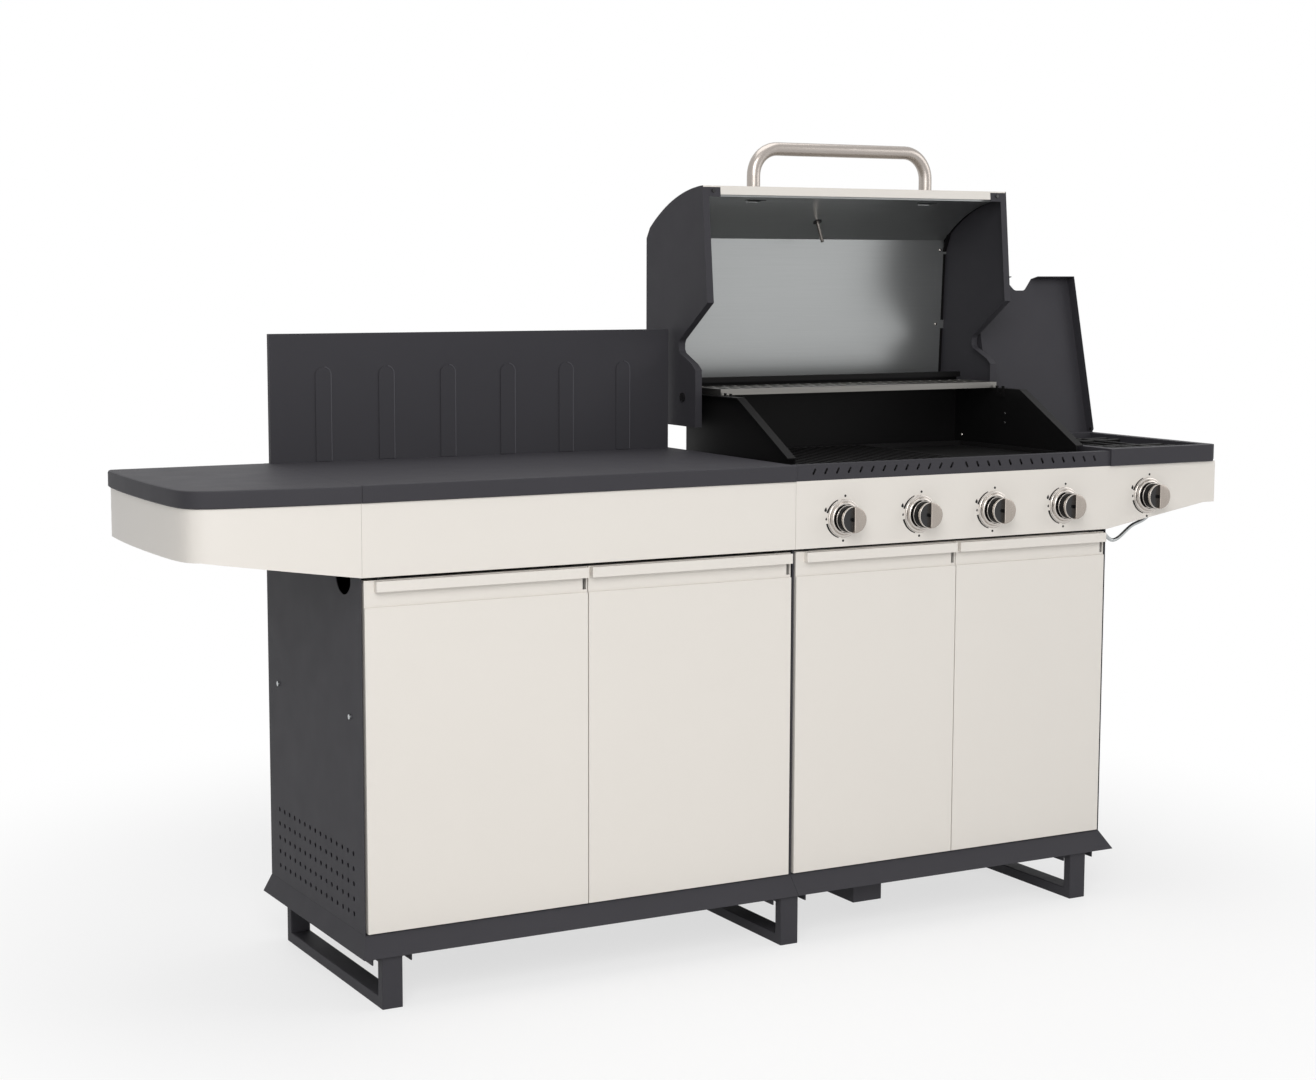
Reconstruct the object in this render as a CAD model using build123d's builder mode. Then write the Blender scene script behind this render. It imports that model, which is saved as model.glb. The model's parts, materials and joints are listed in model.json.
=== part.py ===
"""Gas barbecue grill built into a run of two cabinets.

Left to right: a rounded side shelf, a cabinet with a worktop and backsplash, a cabinet with the
four-burner grill under a hinged lid, and a side burner with its own lid.  The lids are modelled open.
Frame: +X to the right, +Y to the back, +Z up; the origin is on the ground, under the middle of the
whole.  Millimetres.
"""
import os

from build123d import *

os.makedirs("parts", exist_ok=True)

# ---------------------------------------------------------------- driving dimensions
side_shelf_length = 304        # rounded shelf, left of the cabinets
work_module_width = 855        # cabinet under the worktop
grill_module_width = 738       # cabinet under the grill
side_burner_width = 279        # shelf with the side burner, right of the cabinets
knob_reach = 45                # how far the knobs stand out of the control panel
counter_depth = 488            # front of the fascia to the back of the worktop
lid_overhang = 93              # how far the open lid hangs out behind the worktop

plinth_bottom = 93             # clear height under the cabinets
plinth_height = 34
door_floor_gap = 2             # under the doors
door_height = 609
door_head_gap = 6              # between the doors and the fascia
fascia_height = 126
counter_thickness = 30
splash_height = 238

sheet = 1.5                    # cabinet sheet steel
thick_sheet = 2.0              # firebox, trays and fascias
wall = 3.0                     # worktop and plates that carry load
fold = 15.0                    # returned edge of a folded sheet
fit_gap = 0.3                  # between pieces that only lie beside each other
shaft_play = 0.05              # radial play of a pin or shaft in its hole

# ---------------------------------------------------------------- places worked out from them
total_width = side_shelf_length + work_module_width + grill_module_width + side_burner_width
total_depth = knob_reach + counter_depth + lid_overhang
x_shelf_end = -total_width / 2
x_left = x_shelf_end + side_shelf_length
x_joint = x_left + work_module_width
x_right = x_joint + grill_module_width
x_burner_end = x_right + side_burner_width
y_front = -total_depth / 2 + knob_reach
y_back = y_front + counter_depth
y_lid_back = y_back + lid_overhang
x_grill = (x_joint + x_right) / 2

# heights, from the ground up
plinth_top = plinth_bottom + plinth_height
door_bottom = plinth_top + door_floor_gap
door_top = door_bottom + door_height
fascia_bottom = door_top + door_head_gap
fascia_top = fascia_bottom + fascia_height
counter_height = fascia_top + counter_thickness
backsplash_top = counter_height + splash_height

# the cabinets stand a little inside the fascia and the worktop
door_face = y_front + 5        # front face of the doors
cabinet_front = door_face + 3  # front edges of the side panels
cabinet_back = y_back - 11
rail_front = door_face + 40    # cross rails behind the doors


def box_between(low, high):
    """A box solid from its low corner to its high corner, placed inside the current builder."""
    size = [high[i] - low[i] for i in range(3)]
    middle = [(high[i] + low[i]) / 2 for i in range(3)]
    with Locations(tuple(middle)):
        Box(*size)


def cut_between(low, high):
    """Cut a box from its low corner to its high corner out of the current builder."""
    size = [high[i] - low[i] for i in range(3)]
    middle = [(high[i] + low[i]) / 2 for i in range(3)]
    with Locations(tuple(middle)):
        Box(*size, mode=Mode.SUBTRACT)


def pan_between(low, high, thickness, axis, side):
    """A box-shaped pan, open towards one side of one axis."""
    inner_low = [value + thickness for value in low]
    inner_high = [value - thickness for value in high]
    if side > 0:
        inner_high[axis] = high[axis] + 1
    else:
        inner_low[axis] = low[axis] - 1
    box_between(low, high)
    cut_between(inner_low, inner_high)


def rod_along_x(x_low, x_high, y, z, radius, mode=Mode.ADD):
    """A round bar lying left to right."""
    with Locations(((x_low + x_high) / 2, y, z)):
        Cylinder(radius, x_high - x_low, rotation=(0, 90, 0), mode=mode)


def rod_along_y(x, y_low, y_high, z, radius, mode=Mode.ADD):
    """A round bar lying front to back."""
    with Locations((x, (y_low + y_high) / 2, z)):
        Cylinder(radius, y_high - y_low, rotation=(90, 0, 0), mode=mode)


def save(piece, name):
    """Label a finished piece and write it as one STEP file."""
    piece.label = name
    export_step(piece, "parts/" + name + ".step")


# ---------------------------------------------------------------- feet
foot_tube_width = 38
foot_tube_depth = 20
foot_front = y_front - 16      # the feet reach a little in front of the fascia
foot_back = y_back - 33
foot_plate_width = 74
foot_plate_reach = 62
foot_plate_lip = 13
foot_centres = {
    "foot_left": x_left + 40,
    "foot_middle": x_joint - 16,
    "foot_right": x_right - 70,
}


def make_foot(x_centre):
    """A U of rectangular tube lying front to back, with a channel-shaped plate on each post."""
    plate_bottom = plinth_bottom - wall
    half = foot_tube_width / 2
    half_plate = foot_plate_width / 2
    with BuildPart() as foot:
        box_between((x_centre - half, foot_front, 0), (x_centre + half, foot_back, foot_tube_depth))
        for y_post in (foot_front, foot_back - foot_tube_depth):
            box_between(
                (x_centre - half, y_post, 0),
                (x_centre + half, y_post + foot_tube_depth, plate_bottom),
            )
        for y_plate in (foot_front, foot_back - foot_plate_reach):
            box_between(
                (x_centre - half_plate, y_plate, plinth_bottom - foot_plate_lip),
                (x_centre + half_plate, y_plate + foot_plate_reach, plinth_bottom),
            )
            for side in (-1, 1):
                inner = x_centre + side * (half + half_plate - wall) / 2
                reach = (half_plate - wall - half) / 2
                cut_between(
                    (inner - reach, y_plate - 1, plinth_bottom - foot_plate_lip - 1),
                    (inner + reach, y_plate + foot_plate_reach + 1, plate_bottom),
                )
    return foot.part


for foot_name, foot_x in foot_centres.items():
    save(make_foot(foot_x), foot_name)

# ---------------------------------------------------------------- base trays
flare_front = 31
flare_side = 14
flare_back = 11
plinth_return = 14             # the skirt's lower edge is folded inwards


def make_base_tray(x_low, x_high, flare_left, flare_right):
    """A cabinet floor with a flared skirt hanging from its edges, folded inwards at the bottom."""

    def outline(z, inset):
        """The skirt's rectangle at one height: width, depth and middle."""
        share = (plinth_top - z) / (plinth_top - plinth_bottom)
        left = x_low - flare_left * share + inset
        right = x_high + flare_right * share - inset
        front = cabinet_front - flare_front * share + inset
        back = cabinet_back + flare_back * share - inset
        return right - left, back - front, ((left + right) / 2, (front + back) / 2)

    with BuildPart() as tray:
        for z in (plinth_bottom, plinth_top):
            width, depth, middle = outline(z, 0)
            with BuildSketch(Plane.XY.offset(z)):
                with Locations(middle):
                    Rectangle(width, depth)
        loft()
        for z in (plinth_bottom + sheet, plinth_top - sheet):
            width, depth, middle = outline(z, wall)
            with BuildSketch(Plane.XY.offset(z)):
                with Locations(middle):
                    Rectangle(width, depth)
        loft(mode=Mode.SUBTRACT)
        width, depth, middle = outline(plinth_bottom, plinth_return)
        with BuildSketch(Plane.XY.offset(plinth_bottom - 1)):
            with Locations(middle):
                Rectangle(width, depth)
        extrude(amount=sheet + 2, mode=Mode.SUBTRACT)
    return tray.part


save(make_base_tray(x_left, x_joint - fit_gap / 2, flare_side, 0), "base_tray_left")
save(make_base_tray(x_joint + fit_gap / 2, x_right, 0, flare_side), "base_tray_right")

# a channel under the floor that stiffens it where the gas bottle stands
channel_width = 64
channel_left = x_joint + 150
channel_bottom = plinth_bottom - 43
channel_front = y_front + 18
channel_back = cabinet_back - 60
with BuildPart() as floor_channel:
    box_between(
        (channel_left, channel_front, channel_bottom),
        (channel_left + channel_width, channel_back, plinth_top - sheet),
    )
    cut_between(
        (channel_left + wall, channel_front + wall, channel_bottom - 1),
        (channel_left + channel_width - wall, channel_back - wall, plinth_top - sheet - wall),
    )
save(floor_channel.part, "floor_channel")

# ---------------------------------------------------------------- cabinet panels
ledge_height = fascia_top - 18 # the firebox hangs on the panels of the grill cabinet here
vent_pitch = 26.5
vent_hole = 9
vent_columns = 15
vent_rows = 5
vent_first = plinth_top + 27   # height of the lowest row of holes
shelf_height = plinth_top + 361
shelf_screw = 2.5              # radius
hose_notch = 38                # radius of the half-round notch under the fascia
notch_setback = 80
x_divider_left = x_joint - fit_gap / 2 - sheet
x_divider_right = x_joint + fit_gap / 2 + sheet
screw_rows = (cabinet_front + 55, cabinet_back - 56)


def make_side_panel(x_low, inward, top):
    """An outer cabinet side: a sheet with a folded back edge, vent holes and a notch."""
    x_high = x_low + sheet
    fold_low, fold_high = (x_low, x_low + fold) if inward > 0 else (x_high - fold, x_high)
    y_middle = (cabinet_front + cabinet_back) / 2
    with BuildPart() as panel:
        box_between((x_low, cabinet_front, plinth_top), (x_high, cabinet_back, top))
        box_between((fold_low, cabinet_back - sheet, plinth_top), (fold_high, cabinet_back, fascia_bottom))
        side_plane = Plane(origin=(x_low - 1, 0, 0), x_dir=(0, 1, 0), z_dir=(1, 0, 0))
        with BuildSketch(side_plane):
            with Locations((y_middle, vent_first + (vent_rows - 1) * vent_pitch / 2)):
                with GridLocations(vent_pitch, vent_pitch, vent_columns, vent_rows):
                    Circle(vent_hole / 2)
            with Locations(*[(y, shelf_height + 10) for y in screw_rows]):
                Circle(shelf_screw)
            with Locations((cabinet_front + notch_setback, fascia_bottom)):
                Circle(hose_notch)
        extrude(amount=sheet + 2, mode=Mode.SUBTRACT)
    return panel.part


save(make_side_panel(x_left, 1, fascia_top), "side_panel_left")
save(make_side_panel(x_right - sheet, -1, ledge_height), "side_panel_right")

with BuildPart() as divider_panels:
    box_between(
        (x_divider_left, cabinet_front, plinth_top),
        (x_divider_left + sheet, cabinet_back, fascia_top),
    )
    box_between(
        (x_divider_right - sheet, cabinet_front, plinth_top),
        (x_divider_right, cabinet_back, ledge_height),
    )
save(divider_panels.part, "divider_panels")

box_bottom = ledge_height - 117
tray_slot_low = box_bottom - 45 # slot in the back for the grease tray
tray_slot_high = box_bottom + 6
tray_width = 420


def make_back_panel(x_low, x_high, top, slot):
    """A cabinet back: a sheet folded forwards at its top, or slotted to let the tray out."""
    y_high = cabinet_back - sheet
    with BuildPart() as panel:
        box_between((x_low, y_high - sheet, plinth_top), (x_high, y_high, top))
        if not slot:
            box_between((x_low, y_high - fold, top - sheet), (x_high, y_high, top))
        else:
            cut_between(
                (x_grill - tray_width / 2 - 12, y_high - 2 * sheet, tray_slot_low),
                (x_grill + tray_width / 2 + 12, y_high + sheet, tray_slot_high),
            )
    return panel.part


save(make_back_panel(x_left + sheet, x_divider_left, fascia_top, False), "back_panel_left")
save(make_back_panel(x_divider_right, x_right - sheet, ledge_height, True), "back_panel_right")

shelf_lip = 25
with BuildPart() as cabinet_shelf:
    pan_between(
        (x_left + sheet, rail_front + 10, shelf_height),
        (x_divider_left, cabinet_back - 2 * sheet, shelf_height + shelf_lip),
        sheet,
        2,
        1,
    )
    for y_screw in screw_rows:
        rod_along_x(x_left, x_left + 10, y_screw, shelf_height + 10, shelf_screw, Mode.SUBTRACT)
save(cabinet_shelf.part, "cabinet_shelf")

# ---------------------------------------------------------------- doors
door_depth = 18
door_side_gap = 4
door_middle_gap = 2
band_low = door_top - 46       # the handle band starts here and lies back from the door's face
band_setback = 3
lip_low = door_top - 19
lip_reach = 10
lip_sheet = 2
lip_end_gap = 3
lip_hinge_gap = 18             # the lip of a left-hung door starts this far from its edge
band_notch = 9
pivot_inset = 28               # hinge axis from the door's outer edge
pivot_depth = 6                # hinge axis behind the door's face
hinge_pin = 3.0                # radius of a door's hinge pin
pin_grip = 7                   # how far a hinge pin reaches into its door
pad_height = 8
rail_depth = 14
rail_low = door_top - 34
rail_high = fascia_bottom - fit_gap
tab_thickness = 2.5
tab_width = 16


def pair_of_doors(x_low, x_high):
    """Left and right edges of the two doors between two panel faces."""
    width = (x_high - x_low - 2 * door_side_gap - door_middle_gap) / 2
    first = x_low + door_side_gap
    second = first + width + door_middle_gap
    return (first, first + width), (second, second + width)


work_doors = pair_of_doors(x_left + sheet, x_divider_left)
grill_doors = pair_of_doors(x_divider_right, x_right - sheet)
doors = {
    "door_1": (work_doors[0], "left"),
    "door_2": (work_doors[1], "right"),
    "door_3": (grill_doors[0], "left"),
    "door_4": (grill_doors[1], "right"),
}


def hinge_x(edges, side):
    """X of a door's hinge axis."""
    return edges[0] + pivot_inset if side == "left" else edges[1] - pivot_inset


def make_door(edges, side):
    """A sheet pan, open at the back, with a set-back band and a hollow lip to pull at."""
    x_low, x_high = edges
    back = door_face + door_depth
    band_face = door_face + band_setback
    lip_start = x_low + (lip_hinge_gap if side == "left" else lip_end_gap)
    with BuildPart() as door:
        pan_between((x_low, door_face, door_bottom), (x_high, back, door_top), thick_sheet, 1, 1)
        box_between(
            (x_low, door_face, band_low - sheet),
            (x_high, band_face + sheet, door_top),
        )
        cut_between((x_low - 1, door_face - 1, band_low), (x_high + 1, band_face, door_top + 1))
        cut_between(
            (x_high - band_notch, door_face, band_low + 5),
            (x_high - thick_sheet, band_face + 2 * sheet, lip_low),
        )
        box_between(
            (lip_start, door_face - lip_reach, lip_low),
            (x_high - lip_end_gap, band_face, door_top - 1),
        )
        cut_between(
            (lip_start + lip_sheet, door_face - lip_reach + lip_sheet, lip_low - 1),
            (x_high - lip_end_gap - lip_sheet, band_face, door_top - 1 - lip_sheet),
        )
        # a block at each end of the hinge edge, bored for the hinge pins
        x_pin = hinge_x(edges, side)
        for z_low in (door_bottom, door_top - pad_height):
            box_between(
                (x_pin - 8, band_face, z_low),
                (x_pin + 8, back - 3, z_low + pad_height),
            )
        with Locations((x_pin, door_face + pivot_depth + 3, (door_bottom + door_top) / 2)):
            Cylinder(hinge_pin + shaft_play, door_top - door_bottom + 2, mode=Mode.SUBTRACT)
    return door.part


for door_name, (door_edges, door_side) in doors.items():
    save(make_door(door_edges, door_side), door_name)

pivot_y = door_face + pivot_depth + 3
with BuildPart() as front_rails:
    for x_low, x_high in ((x_left + sheet, x_divider_left), (x_divider_right, x_right - sheet)):
        pan_between(
            (x_low, rail_front, rail_low),
            (x_high, rail_front + rail_depth, rail_high),
            sheet,
            2,
            -1,
        )
    for door_edges, door_side in doors.values():
        x_pin = hinge_x(door_edges, door_side)
        box_between(
            (x_pin - tab_width / 2, door_face + 1, rail_high - tab_thickness),
            (x_pin + tab_width / 2, rail_front + sheet, rail_high),
        )
        with Locations((x_pin, pivot_y, rail_high)):
            Cylinder(hinge_pin, 4 * tab_thickness, mode=Mode.SUBTRACT)
save(front_rails.part, "front_rails")

catch_width = 26
catch_height = 12
with BuildPart() as door_catches:
    for pair in (work_doors, grill_doors):
        x_middle = (pair[0][1] + pair[1][0]) / 2
        for side in (-1, 1):
            x_catch = x_middle + side * (catch_width / 2 + 8)
            box_between(
                (x_catch - catch_width / 2, door_face + door_depth + fit_gap, rail_low + 8),
                (x_catch + catch_width / 2, rail_front, rail_low + 8 + catch_height),
            )
save(door_catches.part, "door_catches")

# ---------------------------------------------------------------- fascias and control panel
side_setback = 1.5             # the side fascias lie back from the control panel
knob_margin = 109.5            # from the control panel's ends to the outer knobs
knob_pitch = (grill_module_width - 2 * knob_margin) / 3
knob_row_centre = x_grill - 3
knob_height = fascia_bottom + 53
side_knob_x = x_right + 102
side_knob_height = knob_height + 10
knob_shaft = 4.0               # radius of the turned shaft
panel_hole = 9.0               # radius of the hole behind each knob
knob_places = [(knob_row_centre + (i - 1.5) * knob_pitch, knob_height) for i in range(4)]
knob_places.append((side_knob_x, side_knob_height))
side_face = y_front + side_setback


def make_fascia(x_low, x_high, holes):
    """A front sheet with its top and bottom edges returned, and a hole behind each knob."""
    with BuildPart() as fascia:
        box_between((x_low, y_front, fascia_bottom), (x_high, y_front + thick_sheet, fascia_top))
        for z_low in (fascia_bottom, fascia_top - sheet):
            box_between((x_low + 6, y_front, z_low), (x_high - 6, cabinet_front, z_low + sheet))
        for x_hole, z_hole in holes:
            rod_along_y(x_hole, y_front - 1, cabinet_front, z_hole, panel_hole, Mode.SUBTRACT)
    return fascia.part


save(make_fascia(x_left, x_joint - fit_gap / 2, []), "fascia_left")
save(make_fascia(x_joint + fit_gap / 2, x_right, knob_places[:4]), "control_panel")

shelf_end_height = fascia_bottom + 42 # lower edge of the side fascias at their outer ends
shelf_corner_front = 100
shelf_corner_back = 40
top_proud = 4                  # the black tops stand a little in front of the fascias


def cut_taper(x_inner, x_outer):
    """Cut the lower edge of a side fascia to rise from the cabinet to its outer end."""
    x_beyond = x_outer + (x_outer - x_inner)
    with BuildSketch(Plane.XZ.offset(-y_back - 1)) as below:
        with BuildLine():
            Polyline(
                (x_inner, fascia_bottom - 1),
                (x_inner, fascia_bottom),
                (x_outer, shelf_end_height),
                (x_beyond, shelf_end_height),
                (x_beyond, fascia_bottom - 1),
                close=True,
            )
        make_face()
    extrude(below.sketch, amount=counter_depth + 20, mode=Mode.SUBTRACT)


def shelf_solid(inset, z_low, z_high, mode=Mode.ADD):
    """The rounded shelf's plan between two heights, its free edges moved in by the inset."""
    x_low = x_shelf_end + inset
    y_low = y_front - top_proud + inset
    y_high = y_back - inset
    front_radius = shelf_corner_front - inset
    back_radius = shelf_corner_back - inset
    with BuildSketch(Plane.XY.offset(z_low)) as plan:
        with BuildLine():
            Line((x_left, y_low), (x_low + front_radius, y_low))
            RadiusArc(
                (x_low + front_radius, y_low),
                (x_low, y_low + front_radius),
                front_radius,
            )
            Line((x_low, y_low + front_radius), (x_low, y_high - back_radius))
            RadiusArc((x_low, y_high - back_radius), (x_low + back_radius, y_high), back_radius)
            Line((x_low + back_radius, y_high), (x_left, y_high))
            Line((x_left, y_high), (x_left, y_low))
        make_face()
    extrude(plan.sketch, amount=z_high - z_low, mode=mode)


shelf_inset = top_proud + side_setback
with BuildPart() as side_shelf_fascia:
    shelf_solid(shelf_inset, fascia_bottom, fascia_top)
    shelf_solid(shelf_inset + thick_sheet, fascia_bottom - 1, fascia_top + 1, Mode.SUBTRACT)
    cut_taper(x_left, x_shelf_end + 30)
save(side_shelf_fascia.part, "side_shelf_fascia")

with BuildPart() as side_shelf_top:
    shelf_solid(0, fascia_top, counter_height)
    shelf_solid(wall, fascia_top - 1, counter_height - wall, Mode.SUBTRACT)
    box_between(
        (x_left - wall, y_front - top_proud + wall, fascia_top),
        (x_left, y_back - wall, counter_height - wall),
    )
    fillet(side_shelf_top.edges().group_by(Axis.Z)[-1].sort_by(Axis.X)[:-1], 2.5)
save(side_shelf_top.part, "side_shelf_top")

with BuildPart() as countertop:
    pan_between(
        (x_left + fit_gap, y_front - top_proud, fascia_top),
        (x_joint - fit_gap / 2, y_back, counter_height),
        wall,
        2,
        -1,
    )
    fillet(countertop.edges().filter_by(Axis.X).group_by(Axis.Z)[-1], 2.5)
save(countertop.part, "countertop")

# ---------------------------------------------------------------- backsplash
splash_face = y_back - 16
splash_return = 12
rib_count = 6
rib_pitch = 126
rib_width = 31
rib_height = 175
rib_proud = 2
splash_low = x_left + 10
splash_high = x_joint - 8


def splash_ribs(y_low, y_high, shrink, mode):
    """Upright bars with round tops, side by side along the backsplash."""
    half = rib_width / 2 - shrink
    straight = rib_height - rib_width / 2
    with BuildSketch(Plane.XZ.offset(-y_high)) as bars:
        with Locations(((splash_low + splash_high) / 2, counter_height + 1)):
            with GridLocations(rib_pitch, 1, rib_count, 1):
                Rectangle(2 * half, straight, align=(Align.CENTER, Align.MIN))
                with Locations((0, straight)):
                    Circle(half)
    extrude(bars.sketch, amount=y_high - y_low, mode=mode)


with BuildPart() as backsplash:
    pan_between(
        (splash_low, splash_face, counter_height),
        (splash_high, splash_face + splash_return, backsplash_top),
        sheet,
        1,
        1,
    )
    splash_ribs(splash_face - rib_proud, splash_face, 0, Mode.ADD)
    splash_ribs(splash_face - rib_proud + sheet, splash_face + 2 * sheet, sheet, Mode.SUBTRACT)
save(backsplash.part, "backsplash")

# ---------------------------------------------------------------- vent strip over the control panel
slot_pitch = 26
slot_count = 13
slot_lean = 27
slot_length = 13
slot_height = 4.5
slot_row_centre = 173.5        # middle of each row of slots from the strip's middle
slot_middle_height = counter_height - 13
strip_depth = 18

with BuildPart() as vent_strip:
    box_between(
        (x_joint + fit_gap / 2, y_front, fascia_top + fit_gap),
        (x_right, y_front + thick_sheet, counter_height),
    )
    box_between(
        (x_joint + fit_gap / 2, y_front, counter_height - thick_sheet),
        (x_right, y_front + strip_depth, counter_height),
    )
    box_between(
        (x_joint + fit_gap / 2, y_front, fascia_top + fit_gap),
        (x_right, y_front + strip_depth, fascia_top + fit_gap + thick_sheet),
    )
    with BuildSketch(Plane.XZ.offset(-y_front - strip_depth)):
        for side in (-1, 1):
            with Locations((x_grill + side * slot_row_centre, slot_middle_height)):
                with GridLocations(slot_pitch, 1, slot_count, 1):
                    SlotOverall(slot_length, slot_height, rotation=-side * (90 - slot_lean))
    extrude(amount=strip_depth + 1, mode=Mode.SUBTRACT)
save(vent_strip.part, "vent_strip")

# ---------------------------------------------------------------- firebox
box_side = 35                  # from the module's edge to the firebox's outer face
box_left = x_joint + box_side
box_right = x_right - box_side
box_front = y_front + 61
box_back = cabinet_back - 2 * sheet - 0.5
front_wall_top = counter_height - 34
cheek_front_height = counter_height + 8
cheek_top = counter_height + 111
cheek_slope_end = box_front + 187
back_wall_top = counter_height + 140
cheek_flange = 16
back_hem = 11
back_hem_depth = 15
grate_seat = 14
spill_width = 380              # opening in the firebox floor over the grease tray
lid_hinge_y = y_back - 61
lid_hinge_z = cheek_top - 7.5
lid_pin = 4.0
burner_radius = 15
rack_front_y = y_front + 333
rack_back_y = rack_front_y + 118
cradle_width = 29
cradle_height = 23
cradle_notch = 13
tray_rim_height = box_bottom - 8

with BuildPart() as firebox:
    with BuildSketch(Plane.YZ.offset(box_left)):
        with BuildLine():
            Polyline(
                (box_front, box_bottom),
                (box_front, cheek_front_height),
                (cheek_slope_end, cheek_top),
                (box_back, cheek_top),
                (box_back, box_bottom),
                close=True,
            )
        make_face()
    extrude(amount=box_right - box_left)
    box_between((box_left, box_back - thick_sheet, box_bottom), (box_right, box_back, back_wall_top))
    cut_between(
        (box_left + thick_sheet, box_front + thick_sheet, box_bottom + thick_sheet),
        (box_right - thick_sheet, box_back - thick_sheet, back_wall_top),
    )
    cut_between(
        (box_left + thick_sheet, box_front - 1, front_wall_top),
        (box_right - thick_sheet, box_front + thick_sheet + 1, back_wall_top),
    )
    # hem along the top of the back wall
    box_between(
        (box_left, box_back - back_hem_depth, back_wall_top - thick_sheet),
        (box_right, box_back, back_wall_top),
    )
    box_between(
        (box_left, box_back - back_hem_depth, back_wall_top - back_hem),
        (box_right, box_back - back_hem_depth + thick_sheet, back_wall_top),
    )
    # flanges along the cheeks, turned outwards
    for x_low in (box_left - cheek_flange, box_right):
        with BuildSketch(Plane.YZ.offset(x_low)):
            with BuildLine():
                Polyline(
                    (box_front, cheek_front_height - thick_sheet),
                    (box_front, cheek_front_height),
                    (cheek_slope_end, cheek_top),
                    (box_back, cheek_top),
                    (box_back, cheek_top - thick_sheet),
                    (cheek_slope_end + 0.6, cheek_top - thick_sheet),
                    close=True,
                )
            make_face()
        extrude(amount=cheek_flange)
    # seats for the grates along the front and back walls
    box_between(
        (box_left, box_front, front_wall_top - thick_sheet),
        (box_right, box_front + grate_seat, front_wall_top),
    )
    box_between(
        (box_left, box_back - 2.2 * grate_seat, front_wall_top - thick_sheet),
        (box_right, box_back, front_wall_top),
    )
    # ledges that rest on the cabinet's panels and close the channel beside the firebox
    box_between(
        (x_joint + fit_gap / 2, box_front, ledge_height),
        (box_left + thick_sheet, box_back, ledge_height + thick_sheet),
    )
    box_between(
        (box_right - thick_sheet, box_front, ledge_height),
        (x_right, box_back, ledge_height + thick_sheet),
    )
    # opening in the floor, and the two runners of the grease tray below it
    cut_between(
        (x_grill - spill_width / 2, box_front + 30, box_bottom - 1),
        (x_grill + spill_width / 2, box_back - 30, box_bottom + thick_sheet + 1),
    )
    for side in (-1, 1):
        x_runner = x_grill + side * (tray_width / 2 + 4)
        x_inner = x_grill + side * (tray_width / 2 - 4)
        box_between(
            (x_runner - sheet, box_front + 5, tray_rim_height - 3),
            (x_runner + sheet, box_back - 5, box_bottom),
        )
        box_between(
            (min(x_runner, x_inner), box_front + 5, tray_rim_height - 3),
            (max(x_runner, x_inner), box_back - 5, tray_rim_height - sheet),
        )
    for x_burner, z_burner in knob_places[:4]:
        rod_along_y(
            x_burner, box_front - 1, box_front + 5, z_burner, burner_radius + fit_gap, Mode.SUBTRACT
        )
    rod_along_x(box_left - 1, box_left + 5, lid_hinge_y, lid_hinge_z, lid_pin, Mode.SUBTRACT)
    rod_along_x(box_right - 5, box_right + 1, lid_hinge_y, lid_hinge_z, lid_pin, Mode.SUBTRACT)
    # a U-shaped cradle inside each cheek, a lower place for the warming rack's front edge
    for x_low in (box_left + thick_sheet, box_right - 2 * thick_sheet):
        with BuildSketch(Plane.YZ.offset(x_low)):
            with Locations((rack_front_y - cradle_width / 2 - 5, cheek_top + 5)):
                Rectangle(cradle_width, cradle_height, align=(Align.CENTER, Align.MAX))
                Rectangle(
                    cradle_notch, cradle_height - 8, align=(Align.CENTER, Align.MAX), mode=Mode.SUBTRACT
                )
        extrude(amount=thick_sheet)
save(firebox.part, "firebox")

# ---------------------------------------------------------------- burners and gas train
burner_start = box_front - 9
burner_wall = 1.5
with BuildPart() as burner_tubes:
    for x_burner, z_burner in knob_places[:4]:
        rod_along_y(x_burner, burner_start, box_back - thick_sheet, z_burner, burner_radius)
        rod_along_y(
            x_burner,
            burner_start - 1,
            box_back - thick_sheet - burner_wall,
            z_burner,
            burner_radius - burner_wall,
            Mode.SUBTRACT,
        )
save(burner_tubes.part, "burner_tubes")

cover_half_width = 38
cover_top = front_wall_top - 16
cover_fall = 20
with BuildPart() as flame_covers:
    with BuildSketch(Plane.XZ.offset(-box_back + thick_sheet)):
        for x_burner, z_burner in knob_places[:4]:
            with BuildLine():
                Polyline(
                    (x_burner - cover_half_width, cover_top - cover_fall),
                    (x_burner, cover_top),
                    (x_burner + cover_half_width, cover_top - cover_fall),
                    (x_burner + cover_half_width, cover_top - cover_fall - burner_wall),
                    (x_burner, cover_top - burner_wall),
                    (x_burner - cover_half_width, cover_top - cover_fall - burner_wall),
                    close=True,
                )
            make_face()
    extrude(amount=box_back - box_front - 2 * thick_sheet)
save(flame_covers.part, "flame_covers")

valve_width = 22
valve_height = 28
valve_depth = 48
valve_front = y_front + thick_sheet
valve_back = valve_front + valve_depth
jet_radius = 4
shaft_hole_depth = 36
with BuildPart() as gas_valves:
    for index, (x_valve, z_valve) in enumerate(knob_places):
        front = valve_front if index < 4 else side_face + thick_sheet
        box_between(
            (x_valve - valve_width / 2, front, z_valve - valve_height / 2),
            (x_valve + valve_width / 2, valve_back, z_valve + valve_height / 2),
        )
        rod_along_y(x_valve, valve_back, valve_back + 10, z_valve, jet_radius)
        rod_along_y(
            x_valve,
            front - 1,
            front + shaft_hole_depth,
            z_valve,
            knob_shaft + shaft_play,
            Mode.SUBTRACT,
        )
save(gas_valves.part, "gas_valves")

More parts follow.
